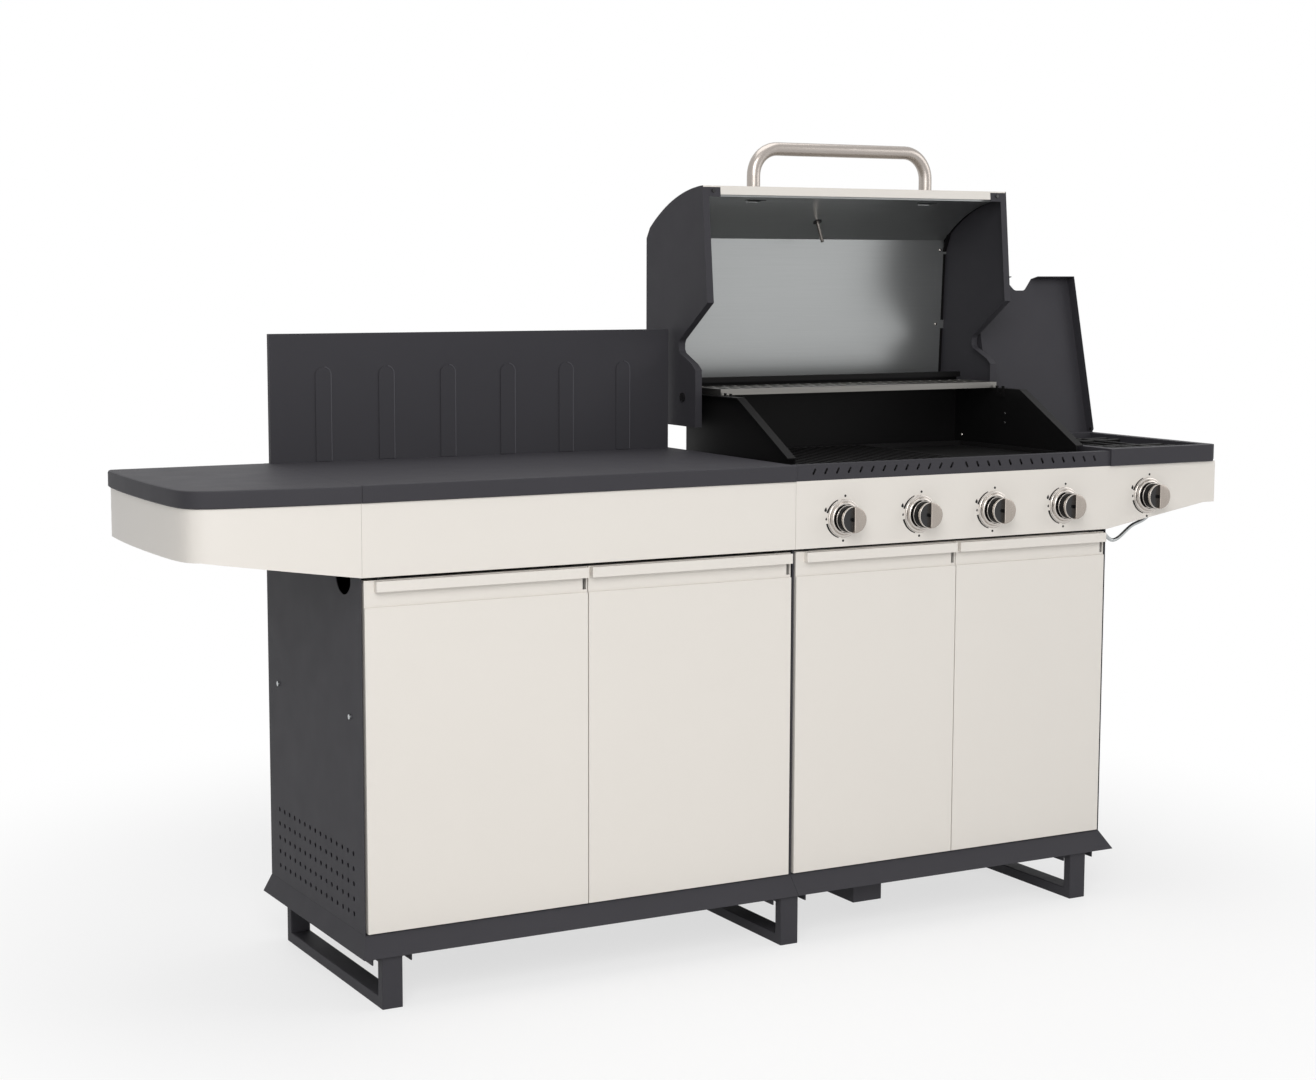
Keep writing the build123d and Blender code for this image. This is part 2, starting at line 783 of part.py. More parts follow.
manifold_radius = 8
manifold_y = y_front + 34
manifold_z = knob_height - valve_height / 2 - manifold_radius
manifold_start = knob_places[0][0] - 30
manifold_end = knob_places[3][0] + 34
inlet_drop = 26
with BuildPart() as gas_manifold:
    rod_along_x(manifold_start, manifold_end, manifold_y, manifold_z, manifold_radius)
    for x_valve, z_valve in knob_places[:4]:
        box_between(
            (x_valve - 7, manifold_y - 6, manifold_z),
            (x_valve + 7, manifold_y + 6, z_valve - valve_height / 2),
        )
    # inlet for the supply hose
    with Locations((manifold_start + 12, manifold_y, manifold_z - inlet_drop / 2)):
        Cylinder(5, inlet_drop, rotation=(0, 0, 0))
    rod_along_x(
        manifold_start + 2, manifold_end - 2, manifold_y, manifold_z, manifold_radius - 2, Mode.SUBTRACT
    )
save(gas_manifold.part, "gas_manifold")

# ---------------------------------------------------------------- bezels and knobs
bezel_radius = 36
bezel_step = 30
bezel_hole = 26.5
bezel_flange = 3
bezel_height = 8
collar_radius = 25
collar_start = 6               # in front of the panel; leaves room for the push
collar_end = 26
cap_radius = 24.5
cap_bore_depth = 12
blade_half = 5.5
scoop_radius = 17
shaft_back = 24                # how far the shaft reaches behind the panel's face


def knob_face(index):
    """Y of the panel face that a knob stands on."""
    return y_front if index < 4 else side_face


with BuildPart() as knob_bezels:
    for index, (x_knob, z_knob) in enumerate(knob_places):
        face = knob_face(index)
        rod_along_y(x_knob, face - bezel_flange, face, z_knob, bezel_radius)
        rod_along_y(x_knob, face - bezel_height, face, z_knob, bezel_step)
        rod_along_y(x_knob, face - bezel_height - 1, face + 1, z_knob, bezel_hole, Mode.SUBTRACT)
save(knob_bezels.part, "knob_bezels")

for index, (x_knob, z_knob) in enumerate(knob_places):
    face = knob_face(index)
    with BuildPart() as stem:
        rod_along_y(x_knob, face - collar_end, face - collar_start, z_knob, collar_radius)
        rod_along_y(x_knob, face - collar_end - cap_bore_depth, face + shaft_back, z_knob, knob_shaft)
    save(stem.part, "knob_stem_" + str(index + 1))
    with BuildPart() as knob:
        rod_along_y(x_knob, face - knob_reach, face - collar_end, z_knob, cap_radius)
        fillet(knob.edges().sort_by(Axis.Y)[0], 2)
        rod_along_y(
            x_knob,
            face - collar_end - cap_bore_depth - fit_gap,
            face - collar_end + 1,
            z_knob,
            knob_shaft + shaft_play,
            Mode.SUBTRACT,
        )
        for side in (-1, 1):
            x_scoop = x_knob + side * (blade_half + scoop_radius)
            with Locations((x_scoop, face - knob_reach, z_knob)):
                Cylinder(scoop_radius, 2 * cap_radius - 8, mode=Mode.SUBTRACT)
    save(knob.part, "knob_" + str(index + 1))

# ---------------------------------------------------------------- side burner
side_lid_length = 346
side_lid_skirt = 25
side_lid_inset = 3
side_lid_lean = 13.5           # how far past upright the open lid leans
side_lid_y = y_front + 395     # hinge axis
side_top_height = counter_height + 4
side_lid_z = side_top_height + 7
side_pin = 2.5
side_back = side_lid_y + 3
rim_width = 22
well_floor = side_top_height - 30
side_corner = 20
burner_x = (x_right + x_burner_end) / 2
burner_y = y_front + 205
skirt_bottom = side_top_height + 1
side_lid_low = x_right + side_lid_inset
side_lid_high = x_burner_end - 2
side_lid_rear = side_lid_y + 6
ear_thickness = 2
ear_radius = 5

with BuildPart() as side_burner_top:
    box_between(
        (x_right + fit_gap, y_front - top_proud, fascia_top),
        (x_burner_end, side_back, side_top_height),
    )
    fillet(side_burner_top.edges().filter_by(Axis.Z).group_by(Axis.Y)[0].sort_by(Axis.X)[-1], side_corner)
    cut_between(
        (x_right + fit_gap + rim_width, y_front - top_proud + rim_width, well_floor + thick_sheet),
        (x_burner_end - rim_width, side_back - rim_width, side_top_height + 1),
    )
    for low, high in (
        (
            (x_right + fit_gap + thick_sheet, y_front - top_proud + thick_sheet, fascia_top - 1),
            (x_burner_end - thick_sheet, side_back - thick_sheet, well_floor),
        ),
        (
            (x_right + fit_gap + thick_sheet, y_front - top_proud + thick_sheet, well_floor - 1),
            (
                x_right + fit_gap + rim_width - thick_sheet,
                side_back - thick_sheet,
                side_top_height - thick_sheet,
            ),
        ),
        (
            (x_burner_end - rim_width + thick_sheet, y_front + rim_width - side_corner / 2, well_floor - 1),
            (x_burner_end - thick_sheet, side_back - thick_sheet, side_top_height - thick_sheet),
        ),
    ):
        cut_between(low, high)
    with Locations((burner_x, burner_y, well_floor)):
        Cylinder(24, 20, mode=Mode.SUBTRACT)
    for x_low in (
        side_lid_low + sheet + fit_gap,
        side_lid_high - sheet - fit_gap - ear_thickness,
    ):
        box_between(
            (x_low, side_lid_y - ear_radius, side_top_height - 1),
            (x_low + ear_thickness, side_back, side_lid_z + ear_radius),
        )
        rod_along_x(x_low - 1, x_low + ear_thickness + 1, side_lid_y, side_lid_z, side_pin, Mode.SUBTRACT)
save(side_burner_top.part, "side_burner_top")

with BuildPart() as side_burner_fascia:
    pan_between(
        (x_right + fit_gap, side_face, fascia_bottom),
        (x_burner_end - side_setback, side_back - side_setback, fascia_top),
        thick_sheet,
        2,
        -1,
    )
    cut_between(
        (x_right, side_face + thick_sheet, fascia_bottom),
        (x_burner_end - side_setback - thick_sheet, side_back, fascia_top + 1),
    )
    cut_taper(x_right, x_burner_end - 30)
    rod_along_y(
        side_knob_x, side_face - 1, side_face + thick_sheet + 1, side_knob_height, panel_hole, Mode.SUBTRACT
    )
save(side_burner_fascia.part, "side_burner_fascia")

# burner head with a ring of ports, on a tube bent towards its valve
head_radius = 38
venturi_radius = 9
with BuildPart() as side_burner:
    with BuildLine(Plane.XY.offset(side_knob_height)) as venturi_path:
        FilletPolyline(
            (side_knob_x, valve_back + 2, 0),
            (side_knob_x, burner_y - 70, 0),
            (burner_x, burner_y, 0),
            radius=40,
        )
    with BuildSketch(Plane.XZ.offset(-valve_back - 2)):
        with Locations((side_knob_x, side_knob_height)):
            Circle(venturi_radius)
    sweep(path=venturi_path.line)
    rod_along_y(
        side_knob_x,
        valve_back + 1,
        valve_back + 40,
        side_knob_height,
        venturi_radius - burner_wall,
        Mode.SUBTRACT,
    )
    throat_low = side_knob_height - venturi_radius - 3
    throat_high = well_floor + thick_sheet
    with Locations((burner_x, burner_y, (throat_low + throat_high) / 2)):
        Cylinder(18, throat_high - throat_low)
    with Locations((burner_x, burner_y, well_floor + thick_sheet + 3)):
        Cylinder(head_radius, 6)
    with Locations((burner_x, burner_y, well_floor + thick_sheet + 9)):
        Cylinder(head_radius - 6, 6)
save(side_burner.part, "side_burner")

support_top = side_top_height - 6
support_bar = 3
with BuildPart() as pan_support:
    support_front = y_front - top_proud + rim_width
    support_back = side_back - rim_width
    for x_bar in (burner_x - 45, burner_x, burner_x + 45):
        rod_along_y(x_bar, support_front + 12, support_back - 12, support_top - support_bar, support_bar)
    for y_bar in (burner_y - 110, burner_y - 70, burner_y + 70, burner_y + 110):
        rod_along_x(
            x_right + fit_gap + rim_width + 4,
            x_burner_end - rim_width - 4,
            y_bar,
            support_top - support_bar,
            support_bar,
        )
    for x_leg in (x_right + fit_gap + rim_width + 8, x_burner_end - rim_width - 8):
        for y_leg in (burner_y - 110, burner_y + 110):
            with Locations((x_leg, y_leg, (well_floor + thick_sheet + support_top - support_bar) / 2)):
                Cylinder(support_bar, support_top - support_bar - well_floor - thick_sheet)
save(pan_support.part, "pan_support")

notch_width = 72               # finger notch in the side lid's free edge
notch_floor = 27
notch_depth = 26
with BuildPart() as closed_side_lid:
    lid_front = side_lid_rear - side_lid_length
    pan_between(
        (side_lid_low, lid_front, skirt_bottom),
        (side_lid_high, side_lid_rear, skirt_bottom + side_lid_skirt),
        sheet,
        2,
        -1,
    )
    cut_between(
        (side_lid_low + sheet, side_lid_rear - 2 * sheet, skirt_bottom - 1),
        (side_lid_high - sheet, side_lid_rear + 1, skirt_bottom + side_lid_skirt / 2 + 2),
    )
    cut_between(
        (side_lid_low - 1, side_lid_rear - 1, skirt_bottom - 1),
        (side_lid_high + 1, side_lid_rear + 1, skirt_bottom + side_lid_skirt / 2 + 2),
    )
    with BuildSketch(Plane.XY.offset(skirt_bottom - 1)):
        x_notch = (side_lid_low + side_lid_high) / 2
        with BuildLine():
            Polyline(
                (x_notch - notch_width / 2, lid_front - 1),
                (x_notch - notch_width / 2, lid_front),
                (x_notch - notch_floor / 2, lid_front + notch_depth),
                (x_notch + notch_floor / 2, lid_front + notch_depth),
                (x_notch + notch_width / 2, lid_front),
                (x_notch + notch_width / 2, lid_front - 1),
                close=True,
            )
        notch = make_face()
        fillet(notch.vertices().group_by(Axis.Y)[-1], 12)
    extrude(amount=side_lid_skirt + 2, mode=Mode.SUBTRACT)
    chamfer(
        closed_side_lid.edges().filter_by(Axis.X).group_by(Axis.Z)[0].sort_by(Axis.Y)[-2:],
        3.5,
    )
    rod_along_x(
        side_lid_low - 1, side_lid_high + 1, side_lid_y, side_lid_z, side_pin + shaft_play, Mode.SUBTRACT
    )
side_lid_axis = Axis((0, side_lid_y, side_lid_z), (1, 0, 0))
save(closed_side_lid.part.rotate(side_lid_axis, -90 - side_lid_lean), "side_burner_lid")

# gas tube from the manifold's end, through the notch in the cabinet's side, to the side valve
tube_radius = 4
tube_y = y_front + 74
tube_low = fascia_bottom - 26
tube_bend = 14
with BuildPart() as side_gas_tube:
    with BuildLine() as tube_path:
        FilletPolyline(
            (manifold_end, manifold_y, manifold_z),
            (x_right - 18, manifold_y, manifold_z),
            (x_right - 8, tube_y, fascia_bottom + 8),
            (x_right + 22, tube_y, tube_low),
            (x_right + 70, tube_y, tube_low + 2),
            (side_knob_x, tube_y, fascia_bottom + 16),
            (side_knob_x, manifold_y, side_knob_height - 38),
            (side_knob_x, manifold_y, side_knob_height - valve_height / 2),
            radius=tube_bend,
        )
    with BuildSketch(Plane.YZ.offset(manifold_end)):
        with Locations((manifold_y, manifold_z)):
            Circle(tube_radius)
    sweep(path=tube_path.line)
save(side_gas_tube.part, "side_gas_tube")

# ---------------------------------------------------------------- cooking surfaces
grate_top = counter_height - 7
grate_front = box_front + 4
grate_back = grate_front + 380
grate_side_gap = 4
grate_middle_gap = 3
grate_bar = 8
grate_height = 14
grate_bars = 20
griddle_width = 266


def grate_edges(index):
    """Left and right edges of one of the two cooking surfaces."""
    low = box_left + thick_sheet + grate_side_gap
    high = box_right - thick_sheet - grate_side_gap
    if index == 0:
        return low, high - griddle_width - grate_middle_gap
    return high - griddle_width, high


with BuildPart() as cooking_grate:
    grate_low, grate_high = grate_edges(0)
    box_between((grate_low, grate_front, grate_top - grate_height), (grate_high, grate_back, grate_top))
    clear = (grate_high - grate_low - grate_bars * grate_bar) / (grate_bars - 1)
    for i in range(grate_bars - 1):
        x_gap = grate_low + grate_bar + i * (grate_bar + clear)
        cut_between(
            (x_gap, grate_front + 12, grate_top - grate_height - 1),
            (x_gap + clear, grate_back - 12, grate_top + 1),
        )
    for y_foot in (grate_front, grate_back - 10):
        for x_foot in (grate_low, grate_high - 16):
            box_between(
                (x_foot, y_foot, front_wall_top),
                (x_foot + 16, y_foot + 10, grate_top - grate_height),
            )
save(cooking_grate.part, "cooking_grate")

with BuildPart() as griddle_plate:
    plate_low, plate_high = grate_edges(1)
    pan_between(
        (plate_low, grate_front, grate_top - grate_height),
        (plate_high, grate_back, grate_top),
        5,
        2,
        1,
    )
    for y_foot in (grate_front, grate_back - 10):
        for x_foot in (plate_low, plate_high - 16):
            box_between(
                (x_foot, y_foot, front_wall_top),
                (x_foot + 16, y_foot + 10, grate_top - grate_height),
            )
save(griddle_plate.part, "griddle_plate")

# the rack is a slotted sheet with its edges turned down, lying on the cheeks
rack_seat = 2                  # how far it reaches over each cheek's flange
rack_edge = 12
rack_slot_length = 46
rack_slot_width = 12
rack_slots = 26
rack_low = box_left - rack_seat
rack_high = box_right + rack_seat
rack_bottom = cheek_top + fit_gap
with BuildPart() as warming_rack:
    pan_between(
        (rack_low, rack_front_y, rack_bottom),
        (rack_high, rack_back_y, rack_bottom + rack_edge),
        sheet,
        2,
        -1,
    )
    with BuildSketch(Plane.XY.offset(rack_bottom + rack_edge - 2 * sheet)):
        with Locations(((rack_low + rack_high) / 2, (rack_front_y + rack_back_y) / 2)):
            with GridLocations((rack_high - rack_low - 40) / (rack_slots - 1), 56, rack_slots, 2):
                SlotOverall(rack_slot_length, rack_slot_width, rotation=90)
    extrude(amount=3 * sheet, mode=Mode.SUBTRACT)
save(warming_rack.part, "warming_rack")

tray_low = tray_rim_height - 30
tray_front = box_front + 12
tray_back = box_back - 14
pull_width = 120
with BuildPart() as grease_tray:
    pan_between(
        (x_grill - tray_width / 2 + 7, tray_front, tray_low),
        (x_grill + tray_width / 2 - 7, tray_back, tray_rim_height),
        sheet,
        2,
        1,
    )
    for side in (-1, 1):
        x_rim = x_grill + side * (tray_width / 2 - 4)
        box_between(
            (x_rim - 4, tray_front, tray_rim_height - sheet),
            (x_rim + 4, tray_back, tray_rim_height),
        )
    box_between(
        (x_grill - pull_width / 2, tray_back - sheet, tray_rim_height - sheet),
        (x_grill + pull_width / 2, y_back, tray_rim_height),
    )
save(grease_tray.part, "grease_tray")

# ---------------------------------------------------------------- lid, modelled open
lid_side_gap = 1               # from the grill module's edge to the lid's outer face
lid_left = x_joint + lid_side_gap
lid_right = x_right - lid_side_gap
lid_wall = 2.0
skin_sheet = 1.5
lid_flange = 13
lid_tab = 41
lid_tip = (lid_hinge_y - 72, lid_hinge_z + 416.5)
lid_crown = (lid_hinge_y + 58, lid_hinge_z + 385)
lid_edge_low = (lid_hinge_y - 94, lid_hinge_z + 195)
lid_shoulder = (lid_hinge_y + 140, lid_hinge_z + 337)
lid_rear = y_lid_back
lid_rear_top = lid_hinge_z + 316
lid_foot = lid_hinge_z - 57.5
skin_lip = lid_hinge_z + 399.5
skin_end = lid_hinge_y + 69
lid_profile = [
    lid_shoulder,
    (lid_rear, lid_rear_top),
    (lid_rear, lid_foot),
    (lid_hinge_y - 50, lid_foot),
    (lid_hinge_y - 49, lid_hinge_z + 56),
    (lid_hinge_y - 35, lid_hinge_z + 67),
    (lid_hinge_y + 13, lid_hinge_z + 88),
    (lid_hinge_y + 18, lid_hinge_z + 95),
    (lid_hinge_y + 18, lid_hinge_z + 106),
    (lid_hinge_y + 14, lid_hinge_z + 114),
    (lid_hinge_y - 95, lid_hinge_z + 189),
    lid_edge_low,
    lid_tip,
]


def lid_ring(x_low, length, thickness):
    """The lid's side outline as a thin band of sheet, standing off one side plate."""
    with BuildSketch(Plane.YZ.offset(x_low)) as band:
        with BuildLine():
            ThreePointArc(lid_tip, lid_crown, lid_shoulder)
            Polyline(*lid_profile)
        make_face()
        offset(amount=-thickness, kind=Kind.INTERSECTION, mode=Mode.SUBTRACT)
    return extrude(band.sketch, amount=length, mode=Mode.PRIVATE)


def lid_solid(x_low, length):
    """The lid's full side outline, filled."""
    with BuildSketch(Plane.YZ.offset(x_low)) as whole:
        with BuildLine():
            ThreePointArc(lid_tip, lid_crown, lid_shoulder)
            Polyline(*lid_profile)
        make_face()
    return extrude(whole.sketch, amount=length, mode=Mode.PRIVATE)


def make_lid_side(x_plate, inward):
    """A side plate with a flange along its open edges and a tab beside the front lip."""
    flange_low = x_plate + lid_wall if inward > 0 else x_plate - lid_flange
    tab_low = x_plate + lid_wall if inward > 0 else x_plate + lid_wall - lid_tab
    with BuildPart() as side:
        add(lid_solid(x_plate, lid_wall))
        with BuildPart(mode=Mode.PRIVATE) as flange:
            add(lid_ring(flange_low, lid_flange, lid_wall))
            cut_between(
                (x_plate - 2 * lid_tab, skin_end - 20, lid_foot - 10),
                (x_plate + 2 * lid_tab, lid_rear + 10, lid_hinge_z + 500),
            )
            cut_between(
                (x_plate - 2 * lid_tab, lid_tip[0] + 1, lid_hinge_z + 250),
                (x_plate + 2 * lid_tab, lid_rear + 10, lid_hinge_z + 500),
            )
            cut_between(
                (x_plate - 2 * lid_tab, lid_hinge_y - 200, skin_lip - 4),
                (x_plate + 2 * lid_tab, lid_rear + 10, lid_hinge_z + 500),
            )
        add(flange.part)
        with BuildPart(mode=Mode.PRIVATE) as tab:
            add(lid_ring(tab_low, lid_tab - lid_wall, lid_wall))
            cut_between(
                (tab_low - 1, lid_hinge_y - 200, lid_foot - 10),
                (tab_low + lid_tab, lid_rear + 10, skin_lip - 4),
            )
            cut_between(
                (tab_low - 1, lid_tip[0] + 1, skin_lip - 5),
                (tab_low + lid_tab, lid_rear + 10, lid_hinge_z + 500),
            )
            cut_between(
                (tab_low - 1, lid_hinge_y - 200, lid_tip[1] - 3),
                (tab_low + lid_tab, lid_rear + 10, lid_hinge_z + 500),
            )
        add(tab.part)
        rod_along_x(
            x_plate - 1, x_plate + lid_wall + 1, lid_hinge_y, lid_hinge_z, lid_pin + shaft_play, Mode.SUBTRACT
        )
    return side.part


save(make_lid_side(lid_left, 1), "lid_side_left")
save(make_lid_side(lid_right - lid_wall, -1), "lid_side_right")

inner_left = lid_left + lid_wall
inner_right = lid_right - lid_wall
dial_y = lid_hinge_y + 95
dial_z = lid_hinge_z + 372
dial_direction = (0, 0.44, 0.9)
probe_hole = 5

with BuildPart() as lid_skin:
    add(lid_ring(inner_left, inner_right - inner_left, skin_sheet))
    cut_between(
        (inner_left - 1, lid_hinge_y - 200, lid_foot - 10),
        (inner_right + 1, lid_tip[0] + 1, skin_lip),
    )
    cut_between(
        (inner_left - 1, lid_hinge_y - 200, lid_foot - 10),
        (inner_right + 1, skin_end, lid_hinge_z + 250),
    )
    for x_low, x_high in (
        (inner_left - 1, lid_left + lid_tab + fit_gap),
        (lid_right - lid_tab - fit_gap, inner_right + 1),
    ):
        cut_between(
            (x_low, lid_hinge_y - 200, skin_lip - 1),
            (x_high, lid_tip[0] + 1 + fit_gap, lid_tip[1] - 3 + fit_gap),
        )
    with Locations(Plane(origin=(x_grill, dial_y, dial_z), z_dir=dial_direction)):
        Cylinder(probe_hole, 40, mode=Mode.SUBTRACT)
save(lid_skin.part, "lid_skin")

# inner sheet, a little inside the skin, with slots for the handle's nuts
liner_sheet = 1.0
liner_slot = 30
liner_gap = 8                  # between the liner's ends and the side plates
liner_left = inner_left + liner_gap
liner_right = inner_right - liner_gap
liner_tab = 18
liner_tabs = (lid_hinge_z + 135, lid_hinge_z + 296)
handle_half_span = 209.5
handle_y = lid_hinge_y - 3
handle_top = lid_hinge_z + 494.5
handle_radius = 13.5
handle_bend = 54
with BuildPart() as lid_liner:
    with BuildSketch(Plane.YZ.offset(inner_left)):
        with BuildLine():
            Line((lid_hinge_y - 59, lid_hinge_z - 40), (lid_hinge_y - 59, lid_hinge_z + 400))
            ThreePointArc(
                (lid_hinge_y - 59, lid_hinge_z + 400),
                (lid_hinge_y + 48, lid_hinge_z + 372.5),
                (lid_hinge_y + 134, lid_hinge_z + 317),
            )
            Polyline(
                (lid_hinge_y + 134, lid_hinge_z + 317),
                (lid_hinge_y + 150, lid_hinge_z - 40),
                (lid_hinge_y - 59, lid_hinge_z - 40),
            )
        make_face()
        offset(amount=-liner_sheet, kind=Kind.INTERSECTION, mode=Mode.SUBTRACT)
    extrude(amount=inner_right - inner_left)
    # the ends stand off the side plates, except at two riveted tabs on each side
    for x_low, x_high in ((inner_left - 1, liner_left), (liner_right, inner_right + 1)):
        for z_low, z_high in (
            (lid_hinge_z - 41, liner_tabs[0] - liner_tab / 2),
            (liner_tabs[0] + liner_tab / 2, liner_tabs[1] - liner_tab / 2),
            (liner_tabs[1] + liner_tab / 2, lid_hinge_z + 402),
        ):
            cut_between((x_low, lid_hinge_y - 60, z_low), (x_high, lid_rear, z_high))
    cut_between(
        (inner_left - 1, lid_hinge_y - 60, lid_hinge_z - 41),
        (inner_right + 1, skin_end, lid_hinge_z + 250),
    )
    cut_between(
        (inner_left - 1, lid_hinge_y - 60, lid_hinge_z + 240),
        (inner_right + 1, lid_hinge_y - 59 + 2 * liner_sheet, lid_hinge_z + 396),
    )
    for side in (-1, 1):
        x_slot = x_grill + side * handle_half_span
        cut_between(
            (x_slot - liner_slot / 2, handle_y - 6, lid_hinge_z + 375),
            (x_slot + liner_slot / 2, handle_y + 6, lid_hinge_z + 402),
        )
    with Locations(Plane(origin=(x_grill, dial_y, dial_z), z_dir=dial_direction)):
        Cylinder(probe_hole + 1, 80, mode=Mode.SUBTRACT)
save(lid_liner.part, "lid_liner")

with BuildPart() as lid_handle:
    with BuildLine() as handle_path:
        FilletPolyline(
            (x_grill - handle_half_span, handle_y, lid_hinge_z + 385),
            (x_grill - handle_half_span, handle_y, handle_top),
            (x_grill + handle_half_span, handle_y, handle_top),
            (x_grill + handle_half_span, handle_y, lid_hinge_z + 385),
            radius=handle_bend,
        )
    with BuildSketch(Plane.XY.offset(lid_hinge_z + 385)):
        with Locations((x_grill - handle_half_span, handle_y)):
            Circle(handle_radius)
    sweep(path=handle_path.line)
    add(lid_solid(x_grill - 2 * handle_half_span, 4 * handle_half_span), mode=Mode.SUBTRACT)
save(lid_handle.part, "lid_handle")

# thermometer: a dial outside the skin, its stem reaching down through both sheets
dial_radius = 32
stem_reach = 68
dial_plane = Plane(origin=(x_grill, dial_y, dial_z), z_dir=dial_direction)
dial_neck = 9
dial_standoff = 4
with BuildPart() as lid_thermometer:
    with BuildSketch(dial_plane.offset(-dial_standoff)):
        Circle(dial_neck)
    extrude(amount=2 * dial_standoff)
    add(lid_solid(x_grill - 2 * dial_neck, 4 * dial_neck), mode=Mode.SUBTRACT)
    with BuildSketch(dial_plane.offset(dial_standoff)):
        Circle(dial_radius)
    extrude(amount=13)
    with BuildSketch(dial_plane.offset(-stem_reach)):
        Circle(3.5)
    extrude(amount=stem_reach + 5)
save(lid_thermometer.part, "lid_thermometer")

lid_screw = 7
# rise and run of the lid's open front edge
lid_lean = (lid_tip[1] - lid_edge_low[1], lid_tip[0] - lid_edge_low[0])
screw_head = 3
with BuildPart() as lid_screws:
    for x_screw in (lid_left + lid_tab / 2 + 4, lid_right - lid_tab / 2 - 4):
        screw_plane = Plane(
            origin=(x_screw, lid_tip[0] - 10 * lid_lean[1] / lid_lean[0], lid_tip[1] - 10),
            z_dir=(0, -lid_lean[0], lid_lean[1]),
        )
        with BuildSketch(screw_plane):
            Circle(lid_screw / 2)
        extrude(amount=screw_head)
save(lid_screws.part, "lid_screws")

# ---------------------------------------------------------------- pins and screws
pin_head = 9
pin_head_thickness = 2.5
spacer_radius = 5.2
with BuildPart() as hinge_pins:
    for door_edges, door_side in doors.values():
        x_pin = hinge_x(door_edges, door_side)
        for z_low, z_high in (
            (plinth_top, door_bottom + pin_grip),
            (door_top - pin_grip, rail_high),
        ):
            with Locations((x_pin, pivot_y, (z_low + z_high) / 2)):
                Cylinder(hinge_pin, z_high - z_low)
    for outer, inner, wall_face in (
        (lid_left, box_left, box_left + thick_sheet),
        (lid_right, box_right, box_right - thick_sheet),
    ):
        toward = 1 if inner > outer else -1
        x_ends = sorted((outer - toward * pin_head_thickness, wall_face + toward * 4))
        rod_along_x(x_ends[0], x_ends[1], lid_hinge_y, lid_hinge_z, lid_pin)
        head = sorted((outer - toward * (fit_gap + pin_head_thickness), outer - toward * fit_gap))
        rod_along_x(head[0], head[1], lid_hinge_y, lid_hinge_z, pin_head)
        spacer = sorted((outer + toward * (lid_wall + fit_gap), inner))
        rod_along_x(spacer[0], spacer[1], lid_hinge_y, lid_hinge_z, spacer_radius)
    for outer, toward in ((side_lid_low, 1), (side_lid_high, -1)):
        pin = sorted((outer - toward * 1.5, outer + toward * (sheet + fit_gap + ear_thickness + 2)))
        rod_along_x(pin[0], pin[1], side_lid_y, side_lid_z, side_pin)
save(hinge_pins.part, "hinge_pins")

with BuildPart() as panel_screws:
    for outer, toward in ((x_left, 1), (x_right, -1)):
        for y_screw in screw_rows:
            shank = sorted((outer, outer + toward * 12))
            rod_along_x(shank[0], shank[1], y_screw, shelf_height + 10, shelf_screw)
            head = sorted((outer - toward * screw_head, outer))
            rod_along_x(head[0], head[1], y_screw, shelf_height + 10, 4.5)
save(panel_screws.part, "panel_screws")
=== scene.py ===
# %% [markdown]
# # A gas barbecue grill with cabinets
# The imported model is loaded first and stays where it is.  Everything that this lesson adds is
# placed from the model's own boxes, so nothing has to be fitted by eye.  The box of the whole
# model is kept; the lamps are aimed at its middle.

# %% Load the model
import json
from math import cos, pi, radians, sin, tau

import bmesh
import bpy
import numpy as np
from mathutils import Matrix, Vector
from mathutils.bvhtree import BVHTree


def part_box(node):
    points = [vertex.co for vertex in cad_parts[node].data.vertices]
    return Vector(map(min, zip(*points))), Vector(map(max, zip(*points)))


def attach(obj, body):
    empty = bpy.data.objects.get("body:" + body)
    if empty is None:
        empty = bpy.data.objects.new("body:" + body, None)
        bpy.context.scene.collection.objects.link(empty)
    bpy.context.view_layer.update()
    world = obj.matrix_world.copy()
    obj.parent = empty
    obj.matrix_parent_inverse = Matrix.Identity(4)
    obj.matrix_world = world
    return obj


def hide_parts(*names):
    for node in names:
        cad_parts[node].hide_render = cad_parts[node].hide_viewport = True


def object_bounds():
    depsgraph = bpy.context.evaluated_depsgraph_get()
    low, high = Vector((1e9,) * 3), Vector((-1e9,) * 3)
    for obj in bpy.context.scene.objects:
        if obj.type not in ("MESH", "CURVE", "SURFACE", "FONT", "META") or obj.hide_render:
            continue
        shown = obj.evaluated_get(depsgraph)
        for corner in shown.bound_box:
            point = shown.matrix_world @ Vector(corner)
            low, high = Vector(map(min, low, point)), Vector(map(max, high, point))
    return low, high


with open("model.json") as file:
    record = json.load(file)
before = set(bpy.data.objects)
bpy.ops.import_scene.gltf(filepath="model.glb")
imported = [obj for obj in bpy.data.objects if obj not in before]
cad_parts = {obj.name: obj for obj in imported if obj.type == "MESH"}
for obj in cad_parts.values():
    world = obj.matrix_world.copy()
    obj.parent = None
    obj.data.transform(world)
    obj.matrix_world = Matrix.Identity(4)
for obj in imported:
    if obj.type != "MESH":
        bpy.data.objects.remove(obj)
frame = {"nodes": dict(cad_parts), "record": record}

cad_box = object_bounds()
nodes = frame["nodes"]
node_slot = {part["node"]: part["material_slot"] for part in frame["record"]["subparts"]}
print("nodes:", len(nodes), "box:", [round(v, 3) for corner in cad_box for v in corner])

# %% [markdown]
# ## The camera
# It stands to the left of the grill at about eye level and looks slightly down.  A long lens keeps
# the cabinets' uprights nearly parallel.  The camera comes first, so that each piece can be judged
# in the view in which it will be seen.

# %% Camera
camera_place = Vector((-2.2140, -3.8855, 1.2680))
camera_turn = radians(28.870)
camera_tilt = radians(6.768)
camera_roll = radians(0.163)
focal_length = 63.68

